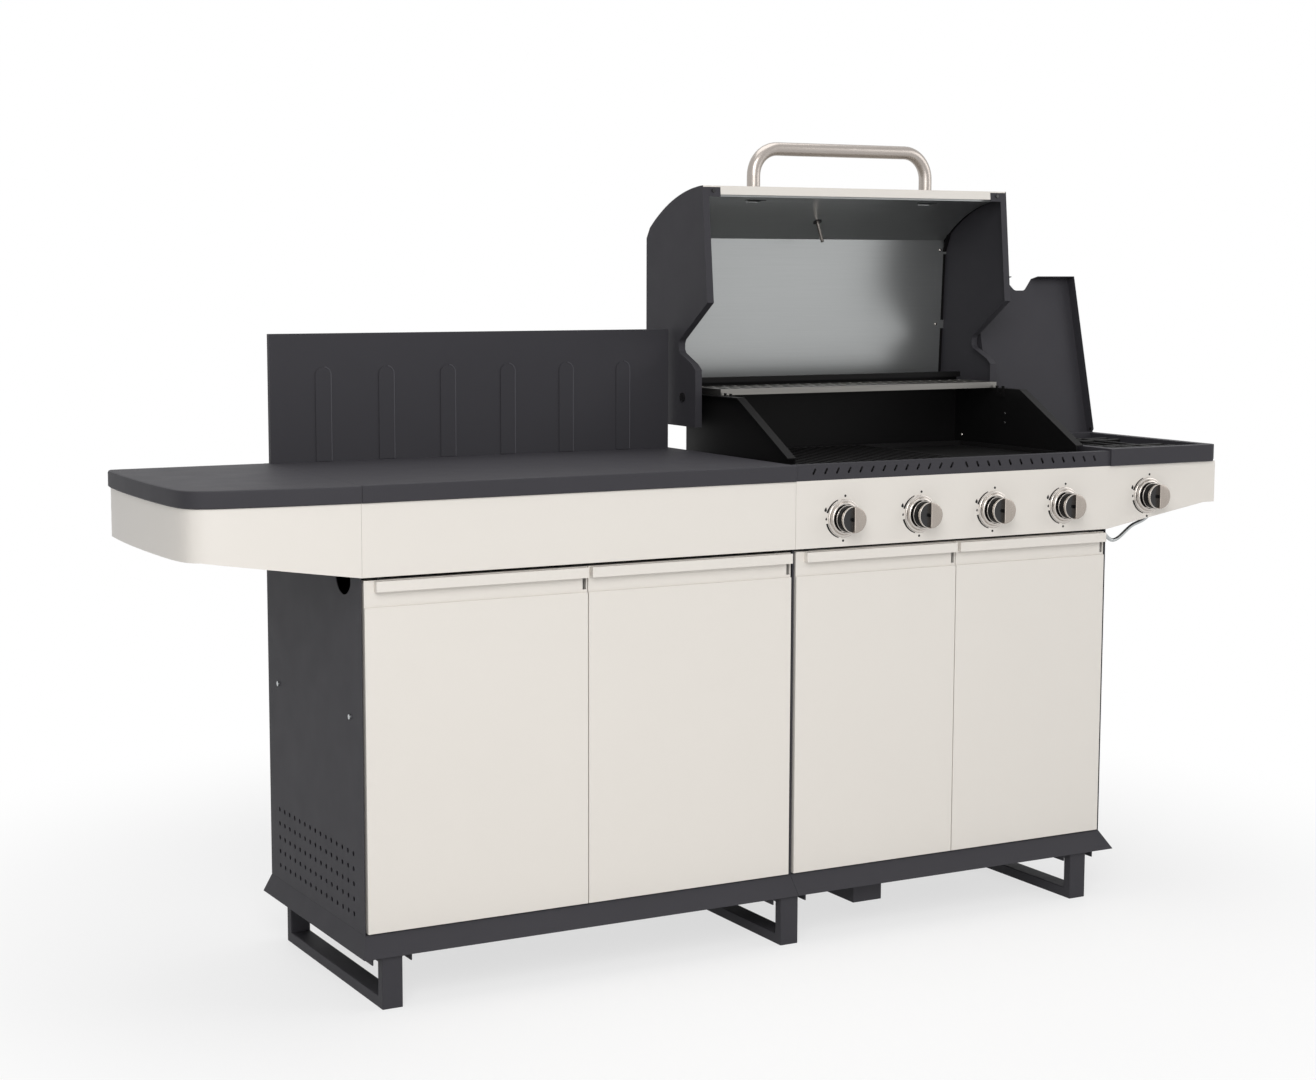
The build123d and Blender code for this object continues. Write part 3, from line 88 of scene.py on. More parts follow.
lens = bpy.data.cameras.new("camera")
lens.sensor_fit = "HORIZONTAL"
lens.sensor_width = 36.0
lens.lens = focal_length
lens.clip_start = 0.05
lens.clip_end = 60.0
camera = bpy.data.objects.new("camera", lens)
camera.matrix_world = (
    Matrix.Translation(camera_place)
    @ Matrix.Rotation(-camera_turn, 4, "Z")
    @ Matrix.Rotation(pi / 2 - camera_tilt, 4, "X")
    @ Matrix.Rotation(camera_roll, 4, "Z")
)
bpy.context.collection.objects.link(camera)
bpy.context.scene.camera = camera
print("camera at", [round(v, 3) for v in camera_place])

# %% [markdown]
# ## Effects shared by the finishes
# Powder coat, enamel and cast iron all have a grain that catches the light, and no painted sheet
# has exactly one tone.  Both effects are node groups with named inputs, so each finish sets its
# own scale and strength.  They read Object coordinates, which stay put when a lid or a door moves.

# %% Node groups
def new_group(name, inputs, outputs):
    """An empty shader node group with named float or colour sockets."""
    group = bpy.data.node_groups.new(name, "ShaderNodeTree")
    for label, kind, value in inputs:
        socket = group.interface.new_socket(label, in_out="INPUT", socket_type=kind)
        socket.default_value = value
    for label, kind in outputs:
        group.interface.new_socket(label, in_out="OUTPUT", socket_type=kind)
    return group, group.nodes.new("NodeGroupInput"), group.nodes.new("NodeGroupOutput")


def math_node(tree, operation, first, second):
    """A Math node whose inputs are sockets or plain numbers."""
    node = tree.nodes.new("ShaderNodeMath")
    node.operation = operation
    for socket, value in zip(node.inputs, (first, second)):
        if isinstance(value, (int, float)):
            socket.default_value = value
        else:
            tree.links.new(value, socket)
    return node.outputs[0]


def noise_node(tree, vector, scale, detail, roughness=0.5):
    """A noise texture's value, between 0 and 1."""
    node = tree.nodes.new("ShaderNodeTexNoise")
    node.inputs["Detail"].default_value = detail
    node.inputs["Roughness"].default_value = roughness
    if isinstance(scale, (int, float)):
        node.inputs["Scale"].default_value = scale
    else:
        tree.links.new(scale, node.inputs["Scale"])
    tree.links.new(vector, node.inputs["Vector"])
    return node.outputs["Fac"]


def make_grain_group():
    """Fine bumps over a coarser ripple: height = fine noise + ripple share of a slower noise."""
    group, source, sink = new_group(
        "coat_grain",
        [("Fine Scale", "NodeSocketFloat", 900.0), ("Ripple Scale", "NodeSocketFloat", 90.0),
         ("Ripple Share", "NodeSocketFloat", 0.3)],
        [("Height", "NodeSocketFloat")],
    )
    place = group.nodes.new("ShaderNodeTexCoord").outputs["Object"]
    fine = noise_node(group, place, source.outputs["Fine Scale"], 3.0)
    ripple = noise_node(group, place, source.outputs["Ripple Scale"], 2.0)
    added = math_node(group, "MULTIPLY", ripple, source.outputs["Ripple Share"])
    group.links.new(math_node(group, "ADD", fine, added), sink.inputs["Height"])
    return group


def make_tone_group():
    """Two colours mixed by a slow cloudy noise, with a second noise for small dull patches."""
    group, source, sink = new_group(
        "tone_drift",
        [("Colour", "NodeSocketColor", (0.5, 0.5, 0.5, 1)),
         ("Other", "NodeSocketColor", (0.5, 0.5, 0.5, 1)),
         ("Scale", "NodeSocketFloat", 4.0), ("Smooth", "NodeSocketFloat", 0.4),
         ("Dull", "NodeSocketFloat", 0.5)],
        [("Colour", "NodeSocketColor"), ("Roughness", "NodeSocketFloat")],
    )
    place = group.nodes.new("ShaderNodeTexCoord").outputs["Object"]
    cloud = noise_node(group, place, source.outputs["Scale"], 4.0)
    patch = noise_node(group, place, math_node(group, "MULTIPLY", source.outputs["Scale"], 6.0), 5.0)
    mix = group.nodes.new("ShaderNodeMix")
    mix.data_type = "RGBA"
    group.links.new(cloud, mix.inputs["Factor"])
    group.links.new(source.outputs["Colour"], mix.inputs["A"])
    group.links.new(source.outputs["Other"], mix.inputs["B"])
    group.links.new(mix.outputs["Result"], sink.inputs["Colour"])
    span = math_node(group, "SUBTRACT", source.outputs["Dull"], source.outputs["Smooth"])
    rough = math_node(group, "ADD", math_node(group, "MULTIPLY", patch, span), source.outputs["Smooth"])
    group.links.new(rough, sink.inputs["Roughness"])
    return group


def seen_rays(tree):
    """1 for the rays that show a surface: from the camera, off a mirror or through glass."""
    rays = tree.nodes.new("ShaderNodeLightPath")
    seen = math_node(tree, "MAXIMUM", rays.outputs["Is Camera Ray"], rays.outputs["Is Glossy Ray"])
    return math_node(tree, "MAXIMUM", seen, rays.outputs["Is Transmission Ray"])


grain_group = make_grain_group()
tone_group = make_tone_group()
print("groups:", grain_group.name, tone_group.name)

# %% [markdown]
# ## Finishes
# Each finish is one Principled shader.  The colour and the roughness come from the tone group, and
# the grain group gives the height of a bump.  Values that are the same all over are set on the
# shader.

# %% Painted and coated finishes
def colour(red, green, blue):
    """A display colour in 0-255 as the linear colour that the shader wants."""
    parts = [v / 255 for v in (red, green, blue)]
    return tuple(v / 12.92 if v <= 0.04045 else ((v + 0.055) / 1.055) ** 2.4 for v in parts) + (1.0,)


def new_material(name):
    """A material with one Principled shader, and the shader itself."""
    material = bpy.data.materials.new(name)
    material.use_nodes = True
    return material, material.node_tree, material.node_tree.nodes["Principled BSDF"]


def place_group(tree, group, **values):
    """A group node with its inputs set by name."""
    node = tree.nodes.new("ShaderNodeGroup")
    node.node_tree = group
    for label, value in values.items():
        node.inputs[label.replace("_", " ")].default_value = value
    return node


def add_bump(tree, shader, height, strength, distance=0.0003):
    """A bump of the given height on the shader's normal."""
    lift = tree.nodes.new("ShaderNodeBump")
    lift.inputs["Strength"].default_value = strength
    lift.inputs["Distance"].default_value = distance
    tree.links.new(height, lift.inputs["Height"])
    tree.links.new(lift.outputs["Normal"], shader.inputs["Normal"])


def mixed(tree, factor, first, second):
    """A colour between two, by a socket's value."""
    mix = tree.nodes.new("ShaderNodeMix")
    mix.data_type = "RGBA"
    mix.inputs["A"].default_value = first
    mix.inputs["B"].default_value = second
    tree.links.new(factor, mix.inputs["Factor"])
    return mix.outputs["Result"]


def coated(name, first, second, smooth, dull, fine, bump, metallic=0.0, gloss=0.5, share=0.3):
    """A coated metal: drifting tone, two roughness levels and a fine grain of the given scale."""
    material, tree, shader = new_material(name)
    tone = place_group(
        tree, tone_group, Colour=first, Other=second, Scale=3.0, Smooth=smooth, Dull=dull
    )
    grain = place_group(tree, grain_group, Fine_Scale=fine, Ripple_Scale=90.0, Ripple_Share=share)
    tree.links.new(tone.outputs["Colour"], shader.inputs["Base Color"])
    tree.links.new(tone.outputs["Roughness"], shader.inputs["Roughness"])
    add_bump(tree, shader, grain.outputs["Height"], bump)
    shader.inputs["Metallic"].default_value = metallic
    shader.inputs["Specular IOR Level"].default_value = gloss
    return material


finishes = {
    "beige_enamel": coated(
        "beige_enamel", colour(222, 217, 210), colour(219, 214, 207), 0.34, 0.42, 700.0, 0.10
    ),
    "anthracite_paint": coated(
        "anthracite_paint", colour(59, 58, 62), colour(54, 53, 57), 0.55, 0.66, 1100.0, 0.30, gloss=0.18
    ),
    "black_enamel": coated(
        "black_enamel", colour(14, 14, 15), colour(19, 18, 18), 0.40, 0.52, 500.0, 0.12, gloss=0.12
    ),
    "cast_iron": coated(
        "cast_iron", colour(19, 19, 20), colour(27, 26, 26), 0.36, 0.52, 420.0, 0.5, gloss=0.2,
        share=0.6,
    ),
    "black_plastic": coated(
        "black_plastic", colour(26, 26, 27), colour(31, 31, 32), 0.34, 0.42, 900.0, 0.1
    ),
    "brass": coated(
        "brass", colour(205, 170, 100), colour(190, 152, 84), 0.25, 0.40, 300.0, 0.1, metallic=1.0
    ),
    "aluminium": coated(
        "aluminium", colour(196, 197, 198), colour(180, 181, 183), 0.35, 0.50, 350.0, 0.3, metallic=1.0
    ),
}
print("coated finishes:", ", ".join(finishes))

# %% [markdown]
# Bare steel has marks that the coated finishes don't.  Brushed steel is scratched along one
# direction, which a noise stretched along that direction copies.  Galvanised sheet shows the edges
# of its zinc crystals, and a Voronoi pattern gives each crystal its own brightness.

# %% Bare metal finishes
def brushed(name, first, second, stretch, smooth, dull, bump=0.12, metallic=1.0):
    """Brushed steel: a noise stretched by the given three factors scratches tone, gloss and surface."""
    material, tree, shader = new_material(name)
    place = tree.nodes.new("ShaderNodeTexCoord").outputs["Object"]
    mapping = tree.nodes.new("ShaderNodeMapping")
    mapping.inputs["Scale"].default_value = stretch
    tree.links.new(place, mapping.inputs["Vector"])
    hairs = noise_node(tree, mapping.outputs["Vector"], 1.0, 6.0, 0.65)
    tree.links.new(mixed(tree, hairs, first, second), shader.inputs["Base Color"])
    rough = math_node(tree, "ADD", math_node(tree, "MULTIPLY", hairs, dull - smooth), smooth)
    tree.links.new(rough, shader.inputs["Roughness"])
    add_bump(tree, shader, hairs, bump, 0.0002)
    shader.inputs["Metallic"].default_value = metallic
    return material


def galvanised(name):
    """Zinc-coated sheet: each crystal has its own brightness, under a faint rolling grain."""
    material, tree, shader = new_material(name)
    place = tree.nodes.new("ShaderNodeTexCoord").outputs["Object"]
    crystals = tree.nodes.new("ShaderNodeTexVoronoi")
    crystals.inputs["Scale"].default_value = 240.0
    tree.links.new(place, crystals.inputs["Vector"])
    tone = tree.nodes.new("ShaderNodeSeparateColor")
    tree.links.new(crystals.outputs["Color"], tone.inputs["Color"])
    crystal_tone = mixed(tree, tone.outputs["Red"], colour(172, 175, 176), colour(182, 185, 186))
    tree.links.new(crystal_tone, shader.inputs["Base Color"])
    rough = math_node(tree, "ADD", math_node(tree, "MULTIPLY", tone.outputs["Green"], 0.10), 0.26)
    tree.links.new(rough, shader.inputs["Roughness"])
    grain = place_group(tree, grain_group, Fine_Scale=500.0, Ripple_Scale=60.0, Ripple_Share=0.6)
    add_bump(tree, shader, grain.outputs["Height"], 0.06)
    shader.inputs["Metallic"].default_value = 1.0
    return material


finishes["galvanised"] = galvanised("galvanised")
finishes["steel"] = brushed(
    "steel", colour(184, 177, 171), colour(150, 142, 136), (40.0, 900.0, 900.0), 0.20, 0.36
)
finishes["upright_steel"] = brushed(
    "upright_steel", colour(188, 180, 172), colour(146, 137, 129), (900.0, 900.0, 30.0), 0.20, 0.36
)
finishes["rolled_sheet"] = brushed(
    "rolled_sheet", colour(172, 174, 174), colour(162, 164, 164), (6.0, 420.0, 420.0), 0.26, 0.35, 0.03,
    metallic=0.82,
)
finishes["rack_steel"] = brushed(
    "rack_steel", colour(142, 140, 136), colour(112, 110, 107), (12.0, 500.0, 500.0), 0.30, 0.42
)
finishes["black_gloss"] = coated(
    "black_gloss", colour(20, 19, 20), colour(28, 27, 28), 0.16, 0.26, 600.0, 0.05
)
print("all finishes:", ", ".join(finishes))

# %% [markdown]
# ## Soft edges on folded sheet
# Bent and painted sheet never has a knife edge: the paint rounds it, and that narrow round edge
# is what draws a bright line in soft light.  The model's sheets are exact but sharp, so a merged
# copy of each stands in for it, with a small bevel.  The copy keeps the model's size and
# place.  The table below gives the width of each bevel in metres.

# %% Softened copies of the sheets
def even_normals(piece):
    """Let the large flat faces decide the shading, so that no round edge shades a whole sheet."""
    even_out = piece.modifiers.new("even_out", "WEIGHTED_NORMAL")
    even_out.mode = "FACE_AREA"
    even_out.weight = 80
    even_out.keep_sharp = True


fold_angle = radians(35)


def soften(node, width):
    """A merged copy of a node whose sharp edges are rounded by the given width."""
    mesh = nodes[node].data.copy()
    work = bmesh.new()
    work.from_mesh(mesh)
    bmesh.ops.remove_doubles(work, verts=work.verts, dist=1e-6)
    bmesh.ops.dissolve_limit(work, angle_limit=radians(0.5), verts=work.verts, edges=work.edges)
    work.to_mesh(mesh)
    work.free()
    mesh.name = node + "_soft"
    piece = bpy.data.objects.new(node + "_soft", mesh)
    bpy.context.collection.objects.link(piece)
    round_off = piece.modifiers.new("round_off", "BEVEL")
    round_off.width = width
    round_off.segments = 2
    round_off.limit_method = "ANGLE"
    round_off.angle_limit = fold_angle
    even_normals(piece)
    mesh.shade_smooth()
    mesh.set_sharp_from_angle(angle=fold_angle)
    mesh.materials.clear()
    mesh.materials.append(finishes[node_slot[node]])
    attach(piece, node_body[node])
    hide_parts(node)
    return piece


node_body = {}
for body, members in frame["record"]["behaviour"]["bodies"].items():
    for member in members:
        node_body[member] = body

soft_edges = {
    **{"door_" + str(number): 0.0012 for number in range(1, 5)},
    "fascia_left": 0.0009,
    "countertop": 0.0030,
    "side_burner_fascia": 0.0009,
    "control_panel": 0.0009,
    "vent_strip": 0.0008,
    "base_tray_left": 0.0008,
    "base_tray_right": 0.0008,
    "foot_left": 0.0015,
    "foot_middle": 0.0015,
    "foot_right": 0.0015,
    "backsplash": 0.0006,
    "lid_side_left": 0.0009,
    "lid_side_right": 0.0009,
    "lid_skin": 0.0006,
    "side_burner_lid": 0.0006,
    "side_burner_top": 0.0015,
    "firebox": 0.0009,
}
softened = {node: soften(node, width) for node, width in soft_edges.items()}
for node, piece in softened.items():
    print(node, "faces:", len(piece.data.polygons))

# %% [markdown]
# The record has one slot for each family of metal.  Within a family a few parts have a finish of
# their own: the lid's liner is smooth rolled sheet, the warming rack is a darker steel, the knobs'
# collars are black, the rails behind the doors are black, which also paints the shade seen in the
# gap under the fascia, and the screws and hinge pins are glossy black.

# %% Finishes on the nodes that stay
own_finish = {
    "lid_liner": "rolled_sheet",
    "warming_rack": "rack_steel",
    # Black rails: they also stand in as painted shade for the gap under the fascia.
    "front_rails": "black_enamel",
    **{"knob_stem_" + str(number): "black_enamel" for number in range(1, 6)},
    "lid_screws": "black_gloss",
    "hinge_pins": "black_gloss",
}
for node, piece in nodes.items():
    if node not in softened:
        piece.data.materials.clear()
        piece.data.materials.append(finishes[own_finish.get(node, node_slot[node])])
print("nodes shown as they are:", len(nodes) - len(softened))

# %% [markdown]
# ## Small solids from rows of points
# Most of the small parts are one of two shapes.  A turned part is a profile carried round an axis,
# and a printed mark is a flat outline with a hair's thickness.  Both are rows of points joined
# into a closed skin, so one function makes the mesh and the others only work out the rows.

# %% Rows to mesh
def skin(name, rows_list, material, body, smooth=True):
    """Join closed rows of points, row to row, and cap the two ends.  Several skins go in one mesh."""
    points, faces, start = [], [], 0
    for rows in rows_list:
        count, around = rows.shape[:2]
        index = np.arange(count * around).reshape(count, around) + start
        ring = np.roll(index, -1, axis=1)
        quads = np.stack([index[:-1], ring[:-1], ring[1:], index[1:]], axis=-1).reshape(-1, 4)
        faces += quads.tolist() + [index[0][::-1].tolist(), index[-1].tolist()]
        points.append(rows.reshape(-1, 3))
        start += count * around
    mesh = bpy.data.meshes.new(name)
    mesh.from_pydata(np.concatenate(points).tolist(), [], faces)
    work = bmesh.new()
    work.from_mesh(mesh)
    bmesh.ops.recalc_face_normals(work, faces=work.faces)
    work.to_mesh(mesh)
    work.free()
    if smooth:
        mesh.shade_smooth()
        mesh.set_sharp_from_angle(angle=radians(40))
    mesh.materials.append(material)
    piece = bpy.data.objects.new(name, mesh)
    bpy.context.collection.objects.link(piece)
    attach(piece, body)
    return piece


def turned(profile, centre, axis, around=48):
    """Rows of a turned part: each (reach, radius) pair is a circle at that reach along the axis."""
    axis = np.array(axis, float) / np.linalg.norm(axis)
    helper = np.array((0.0, 0.0, 1.0)) if abs(axis[2]) < 0.9 else np.array((1.0, 0.0, 0.0))
    side = np.cross(axis, helper)
    side /= np.linalg.norm(side)
    other = np.cross(axis, side)
    angle = np.linspace(0, tau, around, endpoint=False)
    circle = np.cos(angle)[:, None] * side + np.sin(angle)[:, None] * other
    reach, radius = np.array(profile, float).T
    return np.array(centre) + reach[:, None, None] * axis + radius[:, None, None] * circle


def rounded(reach, radius, corner):
    """A quarter round at an outer corner: from the full radius at reach - corner to the flat end."""
    turn = np.linspace(0, pi / 2, 5)
    return [(reach - corner + corner * sin(a), radius - corner + corner * cos(a)) for a in turn]


def flat_mark(outline, face_y, lift):
    """Rows of a thin mark on a front face: its outline in x and z, a lift in front and one behind."""
    outline = np.array(outline, float)
    rows = np.empty((2, len(outline), 3))
    rows[:, :, 0] = outline[:, 0]
    rows[:, :, 2] = outline[:, 1]
    rows[0, :, 1] = face_y + lift
    rows[1, :, 1] = face_y - lift
    return rows


print("helpers ready")

# %% [markdown]
# ## Rounded shelf
# The shelf at the left end has no straight side: its outline bows out and turns the front corner
# in one long curve.  Such a curve is easiest to steer with a few points and a B-spline, which
# passes smoothly near them.  The slab and the band under it follow the same line, the band a
# little further in.

# %% Shelf slab and band
def smooth_line(points, steps=8):
    """A cubic B-spline with its ends held: each piece weights four neighbours by the spline's basis."""
    points = np.array(points, float)
    points = np.concatenate([points[:1], points[:1], points, points[-1:], points[-1:]])
    t = np.linspace(0, 1, steps, endpoint=False)
    basis = np.stack([(1 - t) ** 3, 3 * t**3 - 6 * t**2 + 4, -3 * t**3 + 3 * t**2 + 3 * t + 1, t**3])
    groups = np.stack([points[:-3], points[1:-2], points[2:-1], points[3:]])
    line = np.einsum("ks,knd->nsd", basis / 6, groups).reshape(-1, points.shape[1])
    return np.concatenate([line, points[-1:]])


def moved_right(line, distance):
    """A flat line moved to the right of its heading, point by point."""
    heading = np.gradient(line, axis=0)
    heading /= np.linalg.norm(heading, axis=1)[:, None]
    return line + distance * np.stack([heading[:, 1], -heading[:, 0]], axis=1)


slab_low, slab_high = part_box("side_shelf_top")
joint_gap = 0.0004
band_inset, band_thickness = 0.0045, 0.0012
band_low, band_high, band_slope = 0.7440, 0.7815, 0.14
joint_x, end_x, front_y, rear_y = slab_high.x, slab_low.x, slab_low.y, slab_high.y
shelf_line = smooth_line([
    (joint_x, front_y),
    (joint_x - 0.080, front_y + 0.003),
    (joint_x - 0.176, front_y + 0.012),
    (joint_x - 0.250, front_y + 0.021),
    (end_x + 0.020, front_y + 0.035),
    (end_x + 0.007, front_y + 0.066),
    (end_x + 0.0025, front_y + 0.125),
    (end_x, front_y + 0.200),
    (end_x, -0.020),
    (end_x + 0.0008, 0.070),
    (end_x + 0.0050, 0.150),
    (end_x + 0.0095, rear_y - 0.016),
    (end_x + 0.0125, rear_y - 0.001),
    (end_x + 0.030, rear_y),
    (end_x + 0.080, rear_y),
    (joint_x, rear_y),
])


def shelf_slab_rows():
    """The outline at five levels: drawn in below, then full, then round at the upper edge."""
    rows = []
    for drawn_in, level in (
        (0.0020, slab_low.z), (0.0, slab_low.z + 0.002), (0.0, slab_high.z - 0.0045),
        (0.0013, slab_high.z - 0.0013), (0.0045, slab_high.z),
    ):
        outline = moved_right(shelf_line, drawn_in)
        outline[:, 0] = np.minimum(outline[:, 0], joint_x - joint_gap)
        rows.append(np.insert(outline, 2, level, axis=1))
    return np.array(rows)


def shelf_band_rows():
    """A standing band: four corners at each point, its lower edge rising towards the shelf's end."""
    outer = moved_right(shelf_line, band_inset)
    inner = moved_right(shelf_line, band_inset + band_thickness)
    low = np.minimum(band_low + band_slope * (joint_x - outer[:, 0]), band_high)
    top = np.full(len(low), slab_low.z - 0.0002)
    corners = [
        np.column_stack([outer, low]), np.column_stack([outer, top]),
        np.column_stack([inner, top]), np.column_stack([inner, low]),
    ]
    rows = np.stack(corners, axis=1)
    rows[:, :, 0] = np.minimum(rows[:, :, 0], joint_x - joint_gap)
    return rows


shelf_slab = skin(
    "shelf_slab", [shelf_slab_rows()], finishes["anthracite_paint"], "grill"
)
shelf_band = skin("shelf_band", [shelf_band_rows()], finishes["beige_enamel"], "grill")
even_normals(shelf_slab)
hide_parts("side_shelf_top")
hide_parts("side_shelf_fascia")
print("shelf line points:", len(shelf_line))

# %% [markdown]
# ## Rib shoulders
# Each pressed bar of the backsplash has a round shoulder along its right side and over its top.
# A low bead follows that line: up the side and round a quarter circle.  Its paint is a little
# lighter than the sheet, as a painted highlight where the shoulder catches the light.

# %% Rib shoulders
# The shoulder paint is lighter than the anthracite sheet: a painted highlight along the rib's lit edge.
finishes["shoulder_highlight_paint"] = coated(
    "shoulder_highlight_paint", colour(72, 71, 76), colour(64, 63, 68), 0.45, 0.55, 1100.0, 0.2, gloss=0.3
)
splash_low, splash_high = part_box("backsplash")
rib_count, rib_pitch, rib_half, rib_top = 6, 0.126, 0.0155, 0.1605
bead_half_width, bead_height, bead_sink = 0.0014, 0.0010, 0.0003


def shoulder_rows(centre_x):
    """A half-round bead along the rib's right side and top: half circles square to its line."""
    turn = np.linspace(0, radians(80), 9)
    arc_x = centre_x + rib_half * np.cos(turn)
    arc_z = splash_low.z + rib_top + rib_half * np.sin(turn)
    line = np.column_stack([np.r_[centre_x + rib_half, arc_x], np.r_[splash_low.z + 0.001, arc_z]])
    outward = np.column_stack([np.r_[1.0, np.cos(turn)], np.r_[0.0, np.sin(turn)]])
    angle = np.linspace(0, pi, 7)
    rows = np.empty((len(line), 7, 3))
    side = bead_half_width * np.cos(angle)
    rows[:, :, 0] = line[:, None, 0] + outward[:, None, 0] * side
    rows[:, :, 1] = splash_low.y + bead_sink - bead_height * np.sin(angle)
    rows[:, :, 2] = line[:, None, 1] + outward[:, None, 1] * side
    return rows


rib_middle = (splash_low.x + splash_high.x) / 2
first_rib = rib_middle - (rib_count - 1) / 2 * rib_pitch
shoulders = [shoulder_rows(first_rib + i * rib_pitch) for i in range(rib_count)]
skin("rib_shoulders", shoulders, finishes["shoulder_highlight_paint"], "grill")
print("rib shoulders:", len(shoulders))

# %% [markdown]
# ## Knobs and their marks
# Each knob stands in a polished stepped ring.  Behind the steel cap is a dark collar with a bright
# edge of its own, which is the thin line seen between ring and cap.  On the panel around it are
# the printed marks: a dot above and below, and at the left two arcs that taper, each beside its
# flame, large for the high setting and small for the low one.

# %% Knob rings
def polished(name, tone, roughness):
    """Polished metal, with faint wipe marks in its gloss."""
    material, tree, shader = new_material(name)
    drift = place_group(
        tree, tone_group, Colour=tone, Other=tuple(0.9 * v for v in tone[:3]) + (1.0,), Scale=9.0,
        Smooth=roughness, Dull=roughness + 0.10,
    )
    tree.links.new(drift.outputs["Colour"], shader.inputs["Base Color"])
    tree.links.new(drift.outputs["Roughness"], shader.inputs["Roughness"])
    shader.inputs["Metallic"].default_value = 1.0
    return material


finishes["chrome"] = polished("chrome", colour(200, 194, 188), 0.13)
knob_front = (0, -1, 0)
panel_to_knob = 0.026
knob_names = ["knob_" + str(i + 1) for i in range(5)]
stem_bodies = ["stem_" + str(i + 1) for i in range(5)]
knob_centres = []
for knob_name in knob_names:
    low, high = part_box(knob_name)
    knob_centres.append(((low.x + high.x) / 2, high.y + panel_to_knob, (low.z + high.z) / 2))

bezel_profile = (
    [(0.0002, 0.0270), (0.0, 0.0355)]
    + rounded(0.0030, 0.0360, 0.0018)
    + [(0.0032, 0.0318)]
    + rounded(0.0080, 0.0306, 0.0026)
    + [(0.0080, 0.0272), (0.0068, 0.0266), (0.0010, 0.0265)]
)
bezels = skin(
    "knob_rings",
    [turned(bezel_profile, centre, knob_front, 72) for centre in knob_centres],
    finishes["chrome"],
    "grill",
)
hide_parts("knob_bezels")
band_profile = (
    [(0.0126, 0.0240), (0.0128, 0.0254)] + rounded(0.0150, 0.0260, 0.0007) + [(0.0151, 0.0240)]
)
for index, centre in enumerate(knob_centres):
    skin(
        "collar_edge_" + str(index + 1),
        [turned(band_profile, centre, knob_front, 64)],
        finishes["chrome"],
        stem_bodies[index],
    )
print("knob centres:", [[round(v, 4) for v in centre] for centre in knob_centres])

# %% [markdown]
# The cap is a polished cup with a bright rim.  From it stands a thick grip of brushed steel, whose
# front is a round face cut straight down on one side.  Beside the cut the floor of the cup is
# glossy black, as painted shade in the recess there.  The outline of the grip is part of a circle
# closed by a straight line, drawn in a little at the front for a soft edge.

# %% Knob caps
grip_radius, grip_cut = 0.0243, -0.0020


def grip_outline(centre_x, centre_z, radius, cut):
    """Part of a circle to the right of a straight cut, closed by the cut itself."""
    limit = np.arccos(cut / radius)
    angle = np.linspace(-limit, limit, 60)
    arc = np.stack([centre_x + radius * np.cos(angle), centre_z + radius * np.sin(angle)], axis=1)
    height = np.linspace(arc[-1, 1], arc[0, 1], 14)[1:-1]
    line = np.stack([np.full(12, centre_x + cut), height], axis=1)
    return np.concatenate([arc, line])


def grip_rows(centre, steps):
    """Rows of the grip: one outline for each (reach, drawn in) step, at that reach from the panel."""
    rows = []
    for reach, drawn_in in steps:
        radius, cut = grip_radius - drawn_in, grip_cut + drawn_in
        outline = grip_outline(centre[0], centre[2], radius, cut)
        rows.append(np.insert(outline, 1, centre[1] - reach, axis=1))
    return np.array(rows)


cup_profile = (
    [(0.0262, 0.0005), (0.0262, 0.0232)]
    + [(0.0264, 0.0240), (0.0270, 0.0243)]
    + rounded(0.0345, 0.0250, 0.0007)
    + [(0.0345, 0.0238), (0.0338, 0.0234), (0.0316, 0.0232), (0.0316, 0.0005)]
)
shaded_floor_profile = [(0.0314, 0.0005), (0.0314, 0.0231), (0.0320, 0.0231), (0.0320, 0.0005)]
grip_steps = [(0.0310, 0.0), (0.0380, 0.0), (0.0389, 0.0003), (0.0394, 0.0009), (0.0396, 0.0018)]
for index, (knob_name, centre) in enumerate(zip(knob_names, knob_centres)):
    number = str(index + 1)
    cup = skin(
        "knob_cup_" + number, [turned(cup_profile, centre, knob_front, 64)], finishes["chrome"],
        node_body[knob_name],
    )
    # The cup's floor is glossy black: painted shade in the recess beside the grip.
    skin(
        "knob_shade_floor_" + number, [turned(shaded_floor_profile, centre, knob_front, 48)],
        finishes["black_gloss"], node_body[knob_name],
    )
    skin(
        "knob_grip_" + number, [grip_rows(centre, grip_steps)], finishes["upright_steel"],
        node_body[knob_name],
    )
    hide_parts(knob_name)
print("knob caps:", len(knob_names))

# %% Printed marks
finishes["print_black"] = coated(
    "print_black", colour(16, 15, 15), colour(22, 21, 21), 0.45, 0.55, 900.0, 0.05, gloss=0.3
)
mark_lift = 0.0001
dot_radius, dot_reach = 0.0024, 0.042
arc_radius, arc_thick, arc_thin = 0.0368, 0.0044, 0.0016


def dot(x, z, radius):
    """A round dot's outline."""
    angle = np.linspace(0, tau, 20, endpoint=False)
    return np.stack([x + radius * np.cos(angle), z + radius * np.sin(angle)], axis=1)


def taper_arc(x, z, radius, start, end, thick, thin):
    """An arc's outline: its inner edge is a circle and its thickness falls evenly from start to end."""
    angle = np.radians(np.linspace(start, end, 24))
    width = np.linspace(thick, thin, 24)
    heading = np.stack([np.cos(angle), np.sin(angle)], axis=1)
    outer = (x, z) + (radius + width)[:, None] * heading
    inner = (x, z) + radius * heading
    return np.concatenate([outer, inner[::-1]])


def flame(x, z, size):
    """A flame's outline: a drop whose width is sin(t) * sin(t / 2), leaning a little at its tip."""
    t = np.linspace(0, tau, 24, endpoint=False)
    wide = 0.42 * size * np.sin(t) * np.sin(t / 2)
    tall = 0.5 * size * np.cos(t)
    lean = 0.10 * size * (tall / size + 0.5) ** 2
    return np.stack([x + wide + lean, z + tall], axis=1)


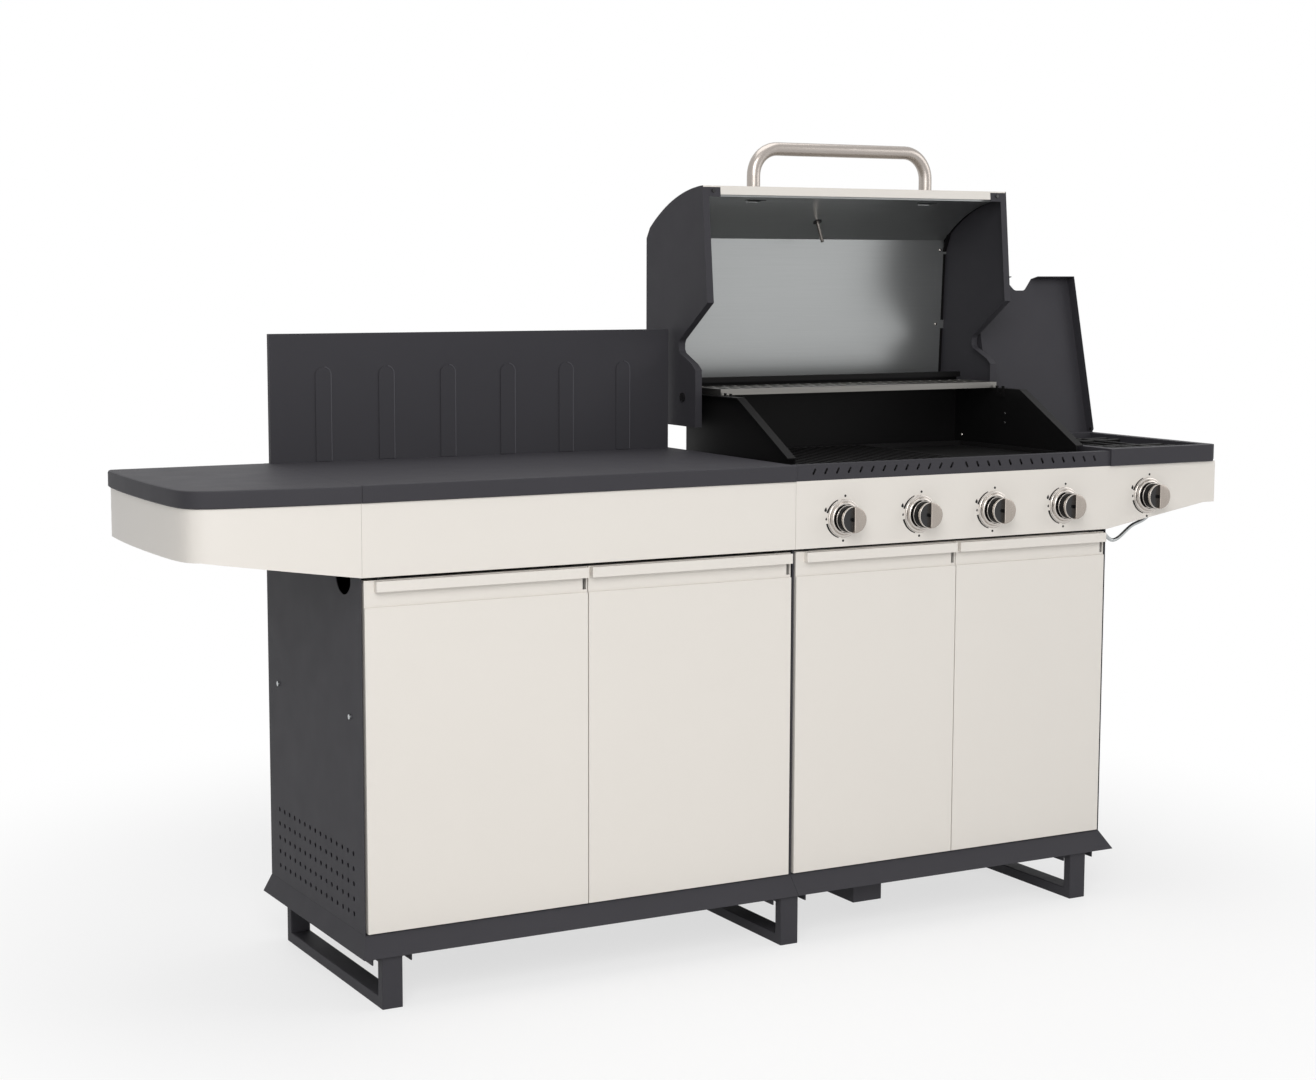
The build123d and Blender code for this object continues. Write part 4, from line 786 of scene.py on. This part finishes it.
for index, (x, y, z) in enumerate(knob_centres):
    outlines = [
        dot(x + 0.002, z + dot_reach, dot_radius),
        dot(x - 0.002, z - dot_reach, dot_radius),
        taper_arc(x, z, arc_radius, 163, 112, arc_thick, arc_thin),
        taper_arc(x, z, arc_radius, 193, 252, arc_thick, arc_thin),
        flame(x - 0.0415, z + 0.0180, 0.0085),
        flame(x - 0.0400, z + 0.0005, 0.0055),
    ]
    skin(
        "panel_marks_" + str(index + 1),
        [flat_mark(outline, y, mark_lift) for outline in outlines],
        finishes["print_black"],
        "grill",
        smooth=False,
    )
print("marks on", len(knob_centres), "knob places")

# %% [markdown]
# ## Lid handle
# The handle is one steel tube with two round bends.  Its centre line lies in an upright plane, so
# the tube is a circle carried along that line, turned with it.  The bends are true arcs: a mesh
# tube from a handful of points would look faceted in a polished finish.

# %% Handle
handle_low, handle_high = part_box("lid_handle")
tube_radius = (handle_high.y - handle_low.y) / 2
leg_left = handle_low.x + tube_radius
leg_right = handle_high.x - tube_radius
bar_height = handle_high.z - tube_radius
bend = 0.054
handle_y = (handle_low.y + handle_high.y) / 2


def handle_rows():
    """Up one leg, round a quarter circle, along the bar and down again, with the circle's frame."""
    turn = np.linspace(0, pi / 2, 13)
    first = np.stack([leg_left + bend * (1 - np.cos(turn)), bar_height - bend * (1 - np.sin(turn))], 1)
    second = np.stack(
        [leg_right - bend * (1 - np.sin(turn)), bar_height - bend * (1 - np.cos(turn))], 1
    )
    foot_z = handle_low.z + 0.004
    line = np.concatenate([[[leg_left, foot_z]], first, second, [[leg_right, foot_z]]])
    heading = np.concatenate([[0], turn, turn + pi / 2, [pi]])
    outward = np.stack([-np.cos(heading), np.sin(heading)], axis=1)
    angle = np.linspace(0, tau, 40, endpoint=False)
    rows = np.empty((len(line), len(angle), 3))
    rows[:, :, 0] = line[:, None, 0] + tube_radius * np.cos(angle) * outward[:, None, 0]
    rows[:, :, 1] = handle_y + tube_radius * np.sin(angle)
    rows[:, :, 2] = line[:, None, 1] + tube_radius * np.cos(angle) * outward[:, None, 1]
    return rows


handle = skin("handle_tube", [handle_rows()], finishes["steel"], "lid")
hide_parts("lid_handle")
print("handle:", [round(v, 3) for v in (leg_left, leg_right, bar_height, tube_radius)])

# %% [markdown]
# ## Small hardware
# The thermometer's stem comes through the liner and is held there by a nut on a washer.  Rivets
# join the liner to the side plate, and screws hold the walls of the firebox.  Over the two slots
# where the handle is bolted lies a dark strip, so no light falls through, and a dark band at
# each end of the liner is painted shade in the gap there. The side burner's lid turns on a thin rod.
# Each round piece is turned on the axis of its hole.

# %% Nut, rivets, screws and strips
def surface_point(node, start, direction):
    """The first point of a model node's surface that is met from a start point in a direction."""
    mesh = nodes[node].data
    tree = BVHTree.FromPolygons(
        [vertex.co for vertex in mesh.vertices], [face.vertices for face in mesh.polygons]
    )
    return tuple(tree.ray_cast(Vector(start), Vector(direction))[0])


def domes(name, places, axis, radius, height, finish, body):
    """Low round heads: the radius falls along a quarter circle as the reach grows to the height."""
    turn = np.linspace(0, pi / 2, 6)[:-1]
    profile = [(-0.001, 0.8 * radius), (0.0, radius)]
    profile += [(0.0003 + height * sin(a), radius * cos(a)) for a in turn[1:]]
    rows = [turned(profile + [(0.0003 + height, 0.0002)], place, axis, 20) for place in places]
    return skin(name, rows, finishes[finish], body)


stem_low, stem_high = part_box("lid_thermometer")
stem_axis = np.array((0.0, -0.474, -0.880))
nut_place = np.array(((stem_low.x + stem_high.x) / 2, 0.2470, 1.3625))
washer = [(0.0, 0.0045), (0.0, 0.0130), (0.0012, 0.0130), (0.0012, 0.0045)]
nut = [(0.0012, 0.0050), (0.0012, 0.0105), (0.0082, 0.0105), (0.0090, 0.0090), (0.0090, 0.0050)]
skin(
    "thermometer_washer", [turned(washer, nut_place, stem_axis, 40)], finishes["rolled_sheet"], "lid",
)
skin(
    "thermometer_nut", [turned(nut, nut_place, stem_axis, 6)], finishes["black_gloss"], "lid",
    smooth=False,
)
rivet_places = [
    surface_point("lid_liner", (0.7900, 0.12, 1.2995), (0, 1, 0)),
    surface_point("lid_liner", (0.7860, 0.12, 1.1390), (0, 1, 0)),
]
domes("liner_rivets", rivet_places, (0, -1, 0.1), 0.0034, 0.0016, "chrome", "lid")

strips = []
for leg_x in (leg_left, leg_right):
    liner_z = surface_point("lid_liner", (leg_x + 0.03, handle_y, 1.25), (0, 0, 1))[2]
    outline = np.array([(-0.024, -0.010), (0.024, -0.010), (0.024, 0.010), (-0.024, 0.010)])
    rows = np.empty((2, 4, 3))
    rows[:, :, :2] = outline + (leg_x, handle_y)
    rows[0, :, 2] = liner_z + 0.0016
    rows[1, :, 2] = liner_z + 0.0024
    strips.append(rows)
skin("slot_strips", strips, finishes["black_enamel"], "lid", smooth=False)


def liner_end_rows(x_low, x_high):
    """A band of painted shade just outside the liner near one end: four corners at each point of its
    profile.
    """
    heights = np.linspace(0.985, 1.335, 9)
    depths = np.linspace(0.275, 0.125, 8)
    back = [surface_point("lid_liner", (0.44, 0.12, z), (0, 1, 0))[1:] for z in heights]
    roof = [surface_point("lid_liner", (0.50, y, 1.25), (0, 0, 1))[1:] for y in depths]
    line = np.array(back + roof)
    near, far = moved_right(line, 0.0016), moved_right(line, 0.0024)
    corners = [(x_low, near), (x_high, near), (x_high, far), (x_low, far)]
    return np.stack([np.insert(place, 0, x, axis=1) for x, place in corners], axis=1)


liner_low, liner_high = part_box("lid_liner")
# Black bands behind the liner's two ends: painted shade in the gap at each end.
end_bands = [
    liner_end_rows(liner_low.x + 0.0005, liner_low.x + 0.010),
    liner_end_rows(liner_high.x - 0.010, liner_high.x - 0.0005),
]
skin("liner_end_shade_bands", end_bands, finishes["black_enamel"], "lid")

wall_places = [
    surface_point("firebox", (0.5, 0.0290, 0.9586), (1, 0, 0)),
    surface_point("firebox", (0.5, 0.0290, 0.9393), (1, 0, 0)),
]
domes("wall_screws", wall_places, (-1, 0, 0), 0.0036, 0.0018, "black_gloss", "grill")
bolt_place = surface_point("firebox", (0.5, 0.1790, 0.9050), (1, 0, 0))
domes("corner_bolt", [bolt_place], (-1, 0, 0), 0.0042, 0.0022, "chrome", "grill")
lid_low, lid_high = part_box("side_burner_lid")
rod_length, rod_radius = lid_high.x - lid_low.x, 0.0022
rod = [(0.0, 0.0004), (0.0, rod_radius), (rod_length, rod_radius), (rod_length, 0.0004)]
rod_rows = turned(rod, (lid_low.x, 0.119, 0.899), (1, 0, 0), 20)
skin("side_lid_rod", [rod_rows], finishes["chrome"], "grill")
print("rivets:", [[round(v, 4) for v in spot] for spot in rivet_places])
print("wall screws:", [[round(v, 4) for v in spot] for spot in wall_places])

# %% [markdown]
# ## Gas tube of the side burner
# The tube is one bent steel pipe.  It leaves the manifold inside the cabinet, hangs in a shallow
# bow under the side fascia and comes up to the side valve.  Its line is a B-spline, and the circle
# that is carried along it keeps its turn from one point to the next, so the tube has no twist.

# %% Gas tube
def carried_circle(line, radius):
    """Circles square to a line in space: each frame is the last one, less its lean along the line."""
    heading = np.gradient(line, axis=0)
    heading /= np.linalg.norm(heading, axis=1)[:, None]
    side = np.cross(heading[0], (0.0, 0.0, 1.0))
    angle = np.linspace(0, tau, 20, endpoint=False)
    cosine, sine = np.cos(angle), np.sin(angle)
    rows = []
    for place, ahead in zip(line, heading):
        side = side - ahead * np.dot(side, ahead)
        side /= np.linalg.norm(side)
        other = np.cross(ahead, side)
        rows.append(place + radius * (np.outer(cosine, side) + np.outer(sine, other)))
    return np.array(rows)


pipe_low, pipe_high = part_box("side_gas_tube")
main_low, main_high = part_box("gas_manifold")
main_y, main_z = (main_low.y + main_high.y) / 2, (main_low.z + main_high.z) / 2
gas_tube_radius = 0.0038
valve_x = pipe_high.x - 0.004
tube_line = smooth_line([
    (pipe_low.x, main_y, main_z),
    (pipe_low.x + 0.030, main_y, main_z),
    (0.786, main_y + 0.010, main_z - 0.004),
    (0.804, -0.196, 0.752),
    (0.836, -0.184, 0.742),
    (0.872, -0.174, 0.730),
    (0.896, -0.173, 0.699),
    (0.924, -0.173, 0.715),
    (0.950, -0.173, 0.737),
    (0.975, -0.174, 0.741),
    (0.996, -0.180, 0.758),
    (0.975, -0.196, 0.782),
    (0.935, -0.215, 0.776),
    (valve_x, main_y - 0.004, 0.770),
    (valve_x, main_y, pipe_high.z - 0.006),
    (valve_x, main_y, pipe_high.z),
], steps=5)
side_tube = skin(
    "side_tube", [carried_circle(tube_line, gas_tube_radius)], finishes["galvanised"], "grill",
)
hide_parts("side_gas_tube")
print("tube points:", len(tube_line))

# %% [markdown]
# ## Floor, backdrop and light
# A plain white studio: a pale floor that keeps the soft contact shadow near the feet and fades to
# white further out, a white world for the camera and for reflections, and four large soft
# lamps.  The key lamp and the front lamp stand in front and to the left, because the fronts of the
# doors are the lightest faces.

# %% Floor
floor_size = 24.0


def make_floor():
    """A square floor, pale and lit near the grill, and plain white far from it."""
    mesh = bpy.data.meshes.new("floor")
    half = floor_size / 2
    corners = np.array([(-half, -half, 0), (half, -half, 0), (half, half, 0), (-half, half, 0)])
    mesh.from_pydata(corners.tolist(), [], [(0, 1, 2, 3)])
    floor = bpy.data.objects.new("floor", mesh)
    bpy.context.collection.objects.link(floor)
    material, tree, shader = new_material("studio_floor")
    shader.inputs["Base Color"].default_value = (0.93, 0.93, 0.93, 1)
    shader.inputs["Roughness"].default_value = 0.55
    shader.inputs["Specular IOR Level"].default_value = 0.25
    place = tree.nodes.new("ShaderNodeTexCoord").outputs["Object"]
    reach = tree.nodes.new("ShaderNodeVectorMath")
    reach.operation = "LENGTH"
    tree.links.new(place, reach.inputs[0])
    fade = tree.nodes.new("ShaderNodeMapRange")
    fade.interpolation_type = "SMOOTHSTEP"
    fade.inputs["From Min"].default_value = 0.9
    fade.inputs["From Max"].default_value = 2.0
    fade.inputs["To Min"].default_value = 0.68
    tree.links.new(reach.outputs["Value"], fade.inputs["Value"])
    share = math_node(tree, "MULTIPLY", fade.outputs["Result"], seen_rays(tree))
    white = tree.nodes.new("ShaderNodeEmission")
    white.inputs["Color"].default_value = (1, 1, 1, 1)
    blend = tree.nodes.new("ShaderNodeMixShader")
    tree.links.new(share, blend.inputs[0])
    tree.links.new(shader.outputs[0], blend.inputs[1])
    tree.links.new(white.outputs[0], blend.inputs[2])
    tree.links.new(blend.outputs[0], tree.nodes["Material Output"].inputs["Surface"])
    mesh.materials.append(material)


make_floor()
print("floor:", floor_size, "m square")

# %% World and lamps
def make_world():
    """White for camera, mirror and glass rays; a softer grey for the light that falls on the grill."""
    world = bpy.data.worlds.new("studio")
    world.use_nodes = True
    tree = world.node_tree
    tree.nodes.clear()
    fill = tree.nodes.new("ShaderNodeBackground")
    fill.inputs["Color"].default_value = (1, 1, 1, 1)
    fill.inputs["Strength"].default_value = 0.30
    white = tree.nodes.new("ShaderNodeBackground")
    white.inputs["Color"].default_value = (1, 1, 1, 1)
    white.inputs["Strength"].default_value = 1.0
    mix = tree.nodes.new("ShaderNodeMixShader")
    sink = tree.nodes.new("ShaderNodeOutputWorld")
    tree.links.new(seen_rays(tree), mix.inputs[0])
    tree.links.new(fill.outputs[0], mix.inputs[1])
    tree.links.new(white.outputs[0], mix.inputs[2])
    tree.links.new(mix.outputs[0], sink.inputs["Surface"])
    bpy.context.scene.world = world


def soft_lamp(name, place, target, size, power):
    """A square area lamp that looks at a target."""
    lamp = bpy.data.lights.new(name, "AREA")
    lamp.size = size
    lamp.energy = power
    piece = bpy.data.objects.new(name, lamp)
    piece.location = place
    piece.rotation_mode = "QUATERNION"
    piece.rotation_quaternion = (Vector(target) - Vector(place)).to_track_quat("-Z", "Y")
    bpy.context.collection.objects.link(piece)


make_world()
middle = (cad_box[0] + cad_box[1]) / 2
soft_lamp("key_lamp", (-2.5, -4.0, 3.5), middle, 2.6, 118.0)
soft_lamp("front_lamp", (-1.8, -5.2, 1.4), middle, 3.0, 55.0)
soft_lamp("side_lamp", (3.8, -2.2, 2.4), middle, 2.4, 30.0)
soft_lamp("top_lamp", (0.2, 0.4, 4.2), middle, 3.0, 48.0)
bpy.context.scene.view_settings.view_transform = "Standard"
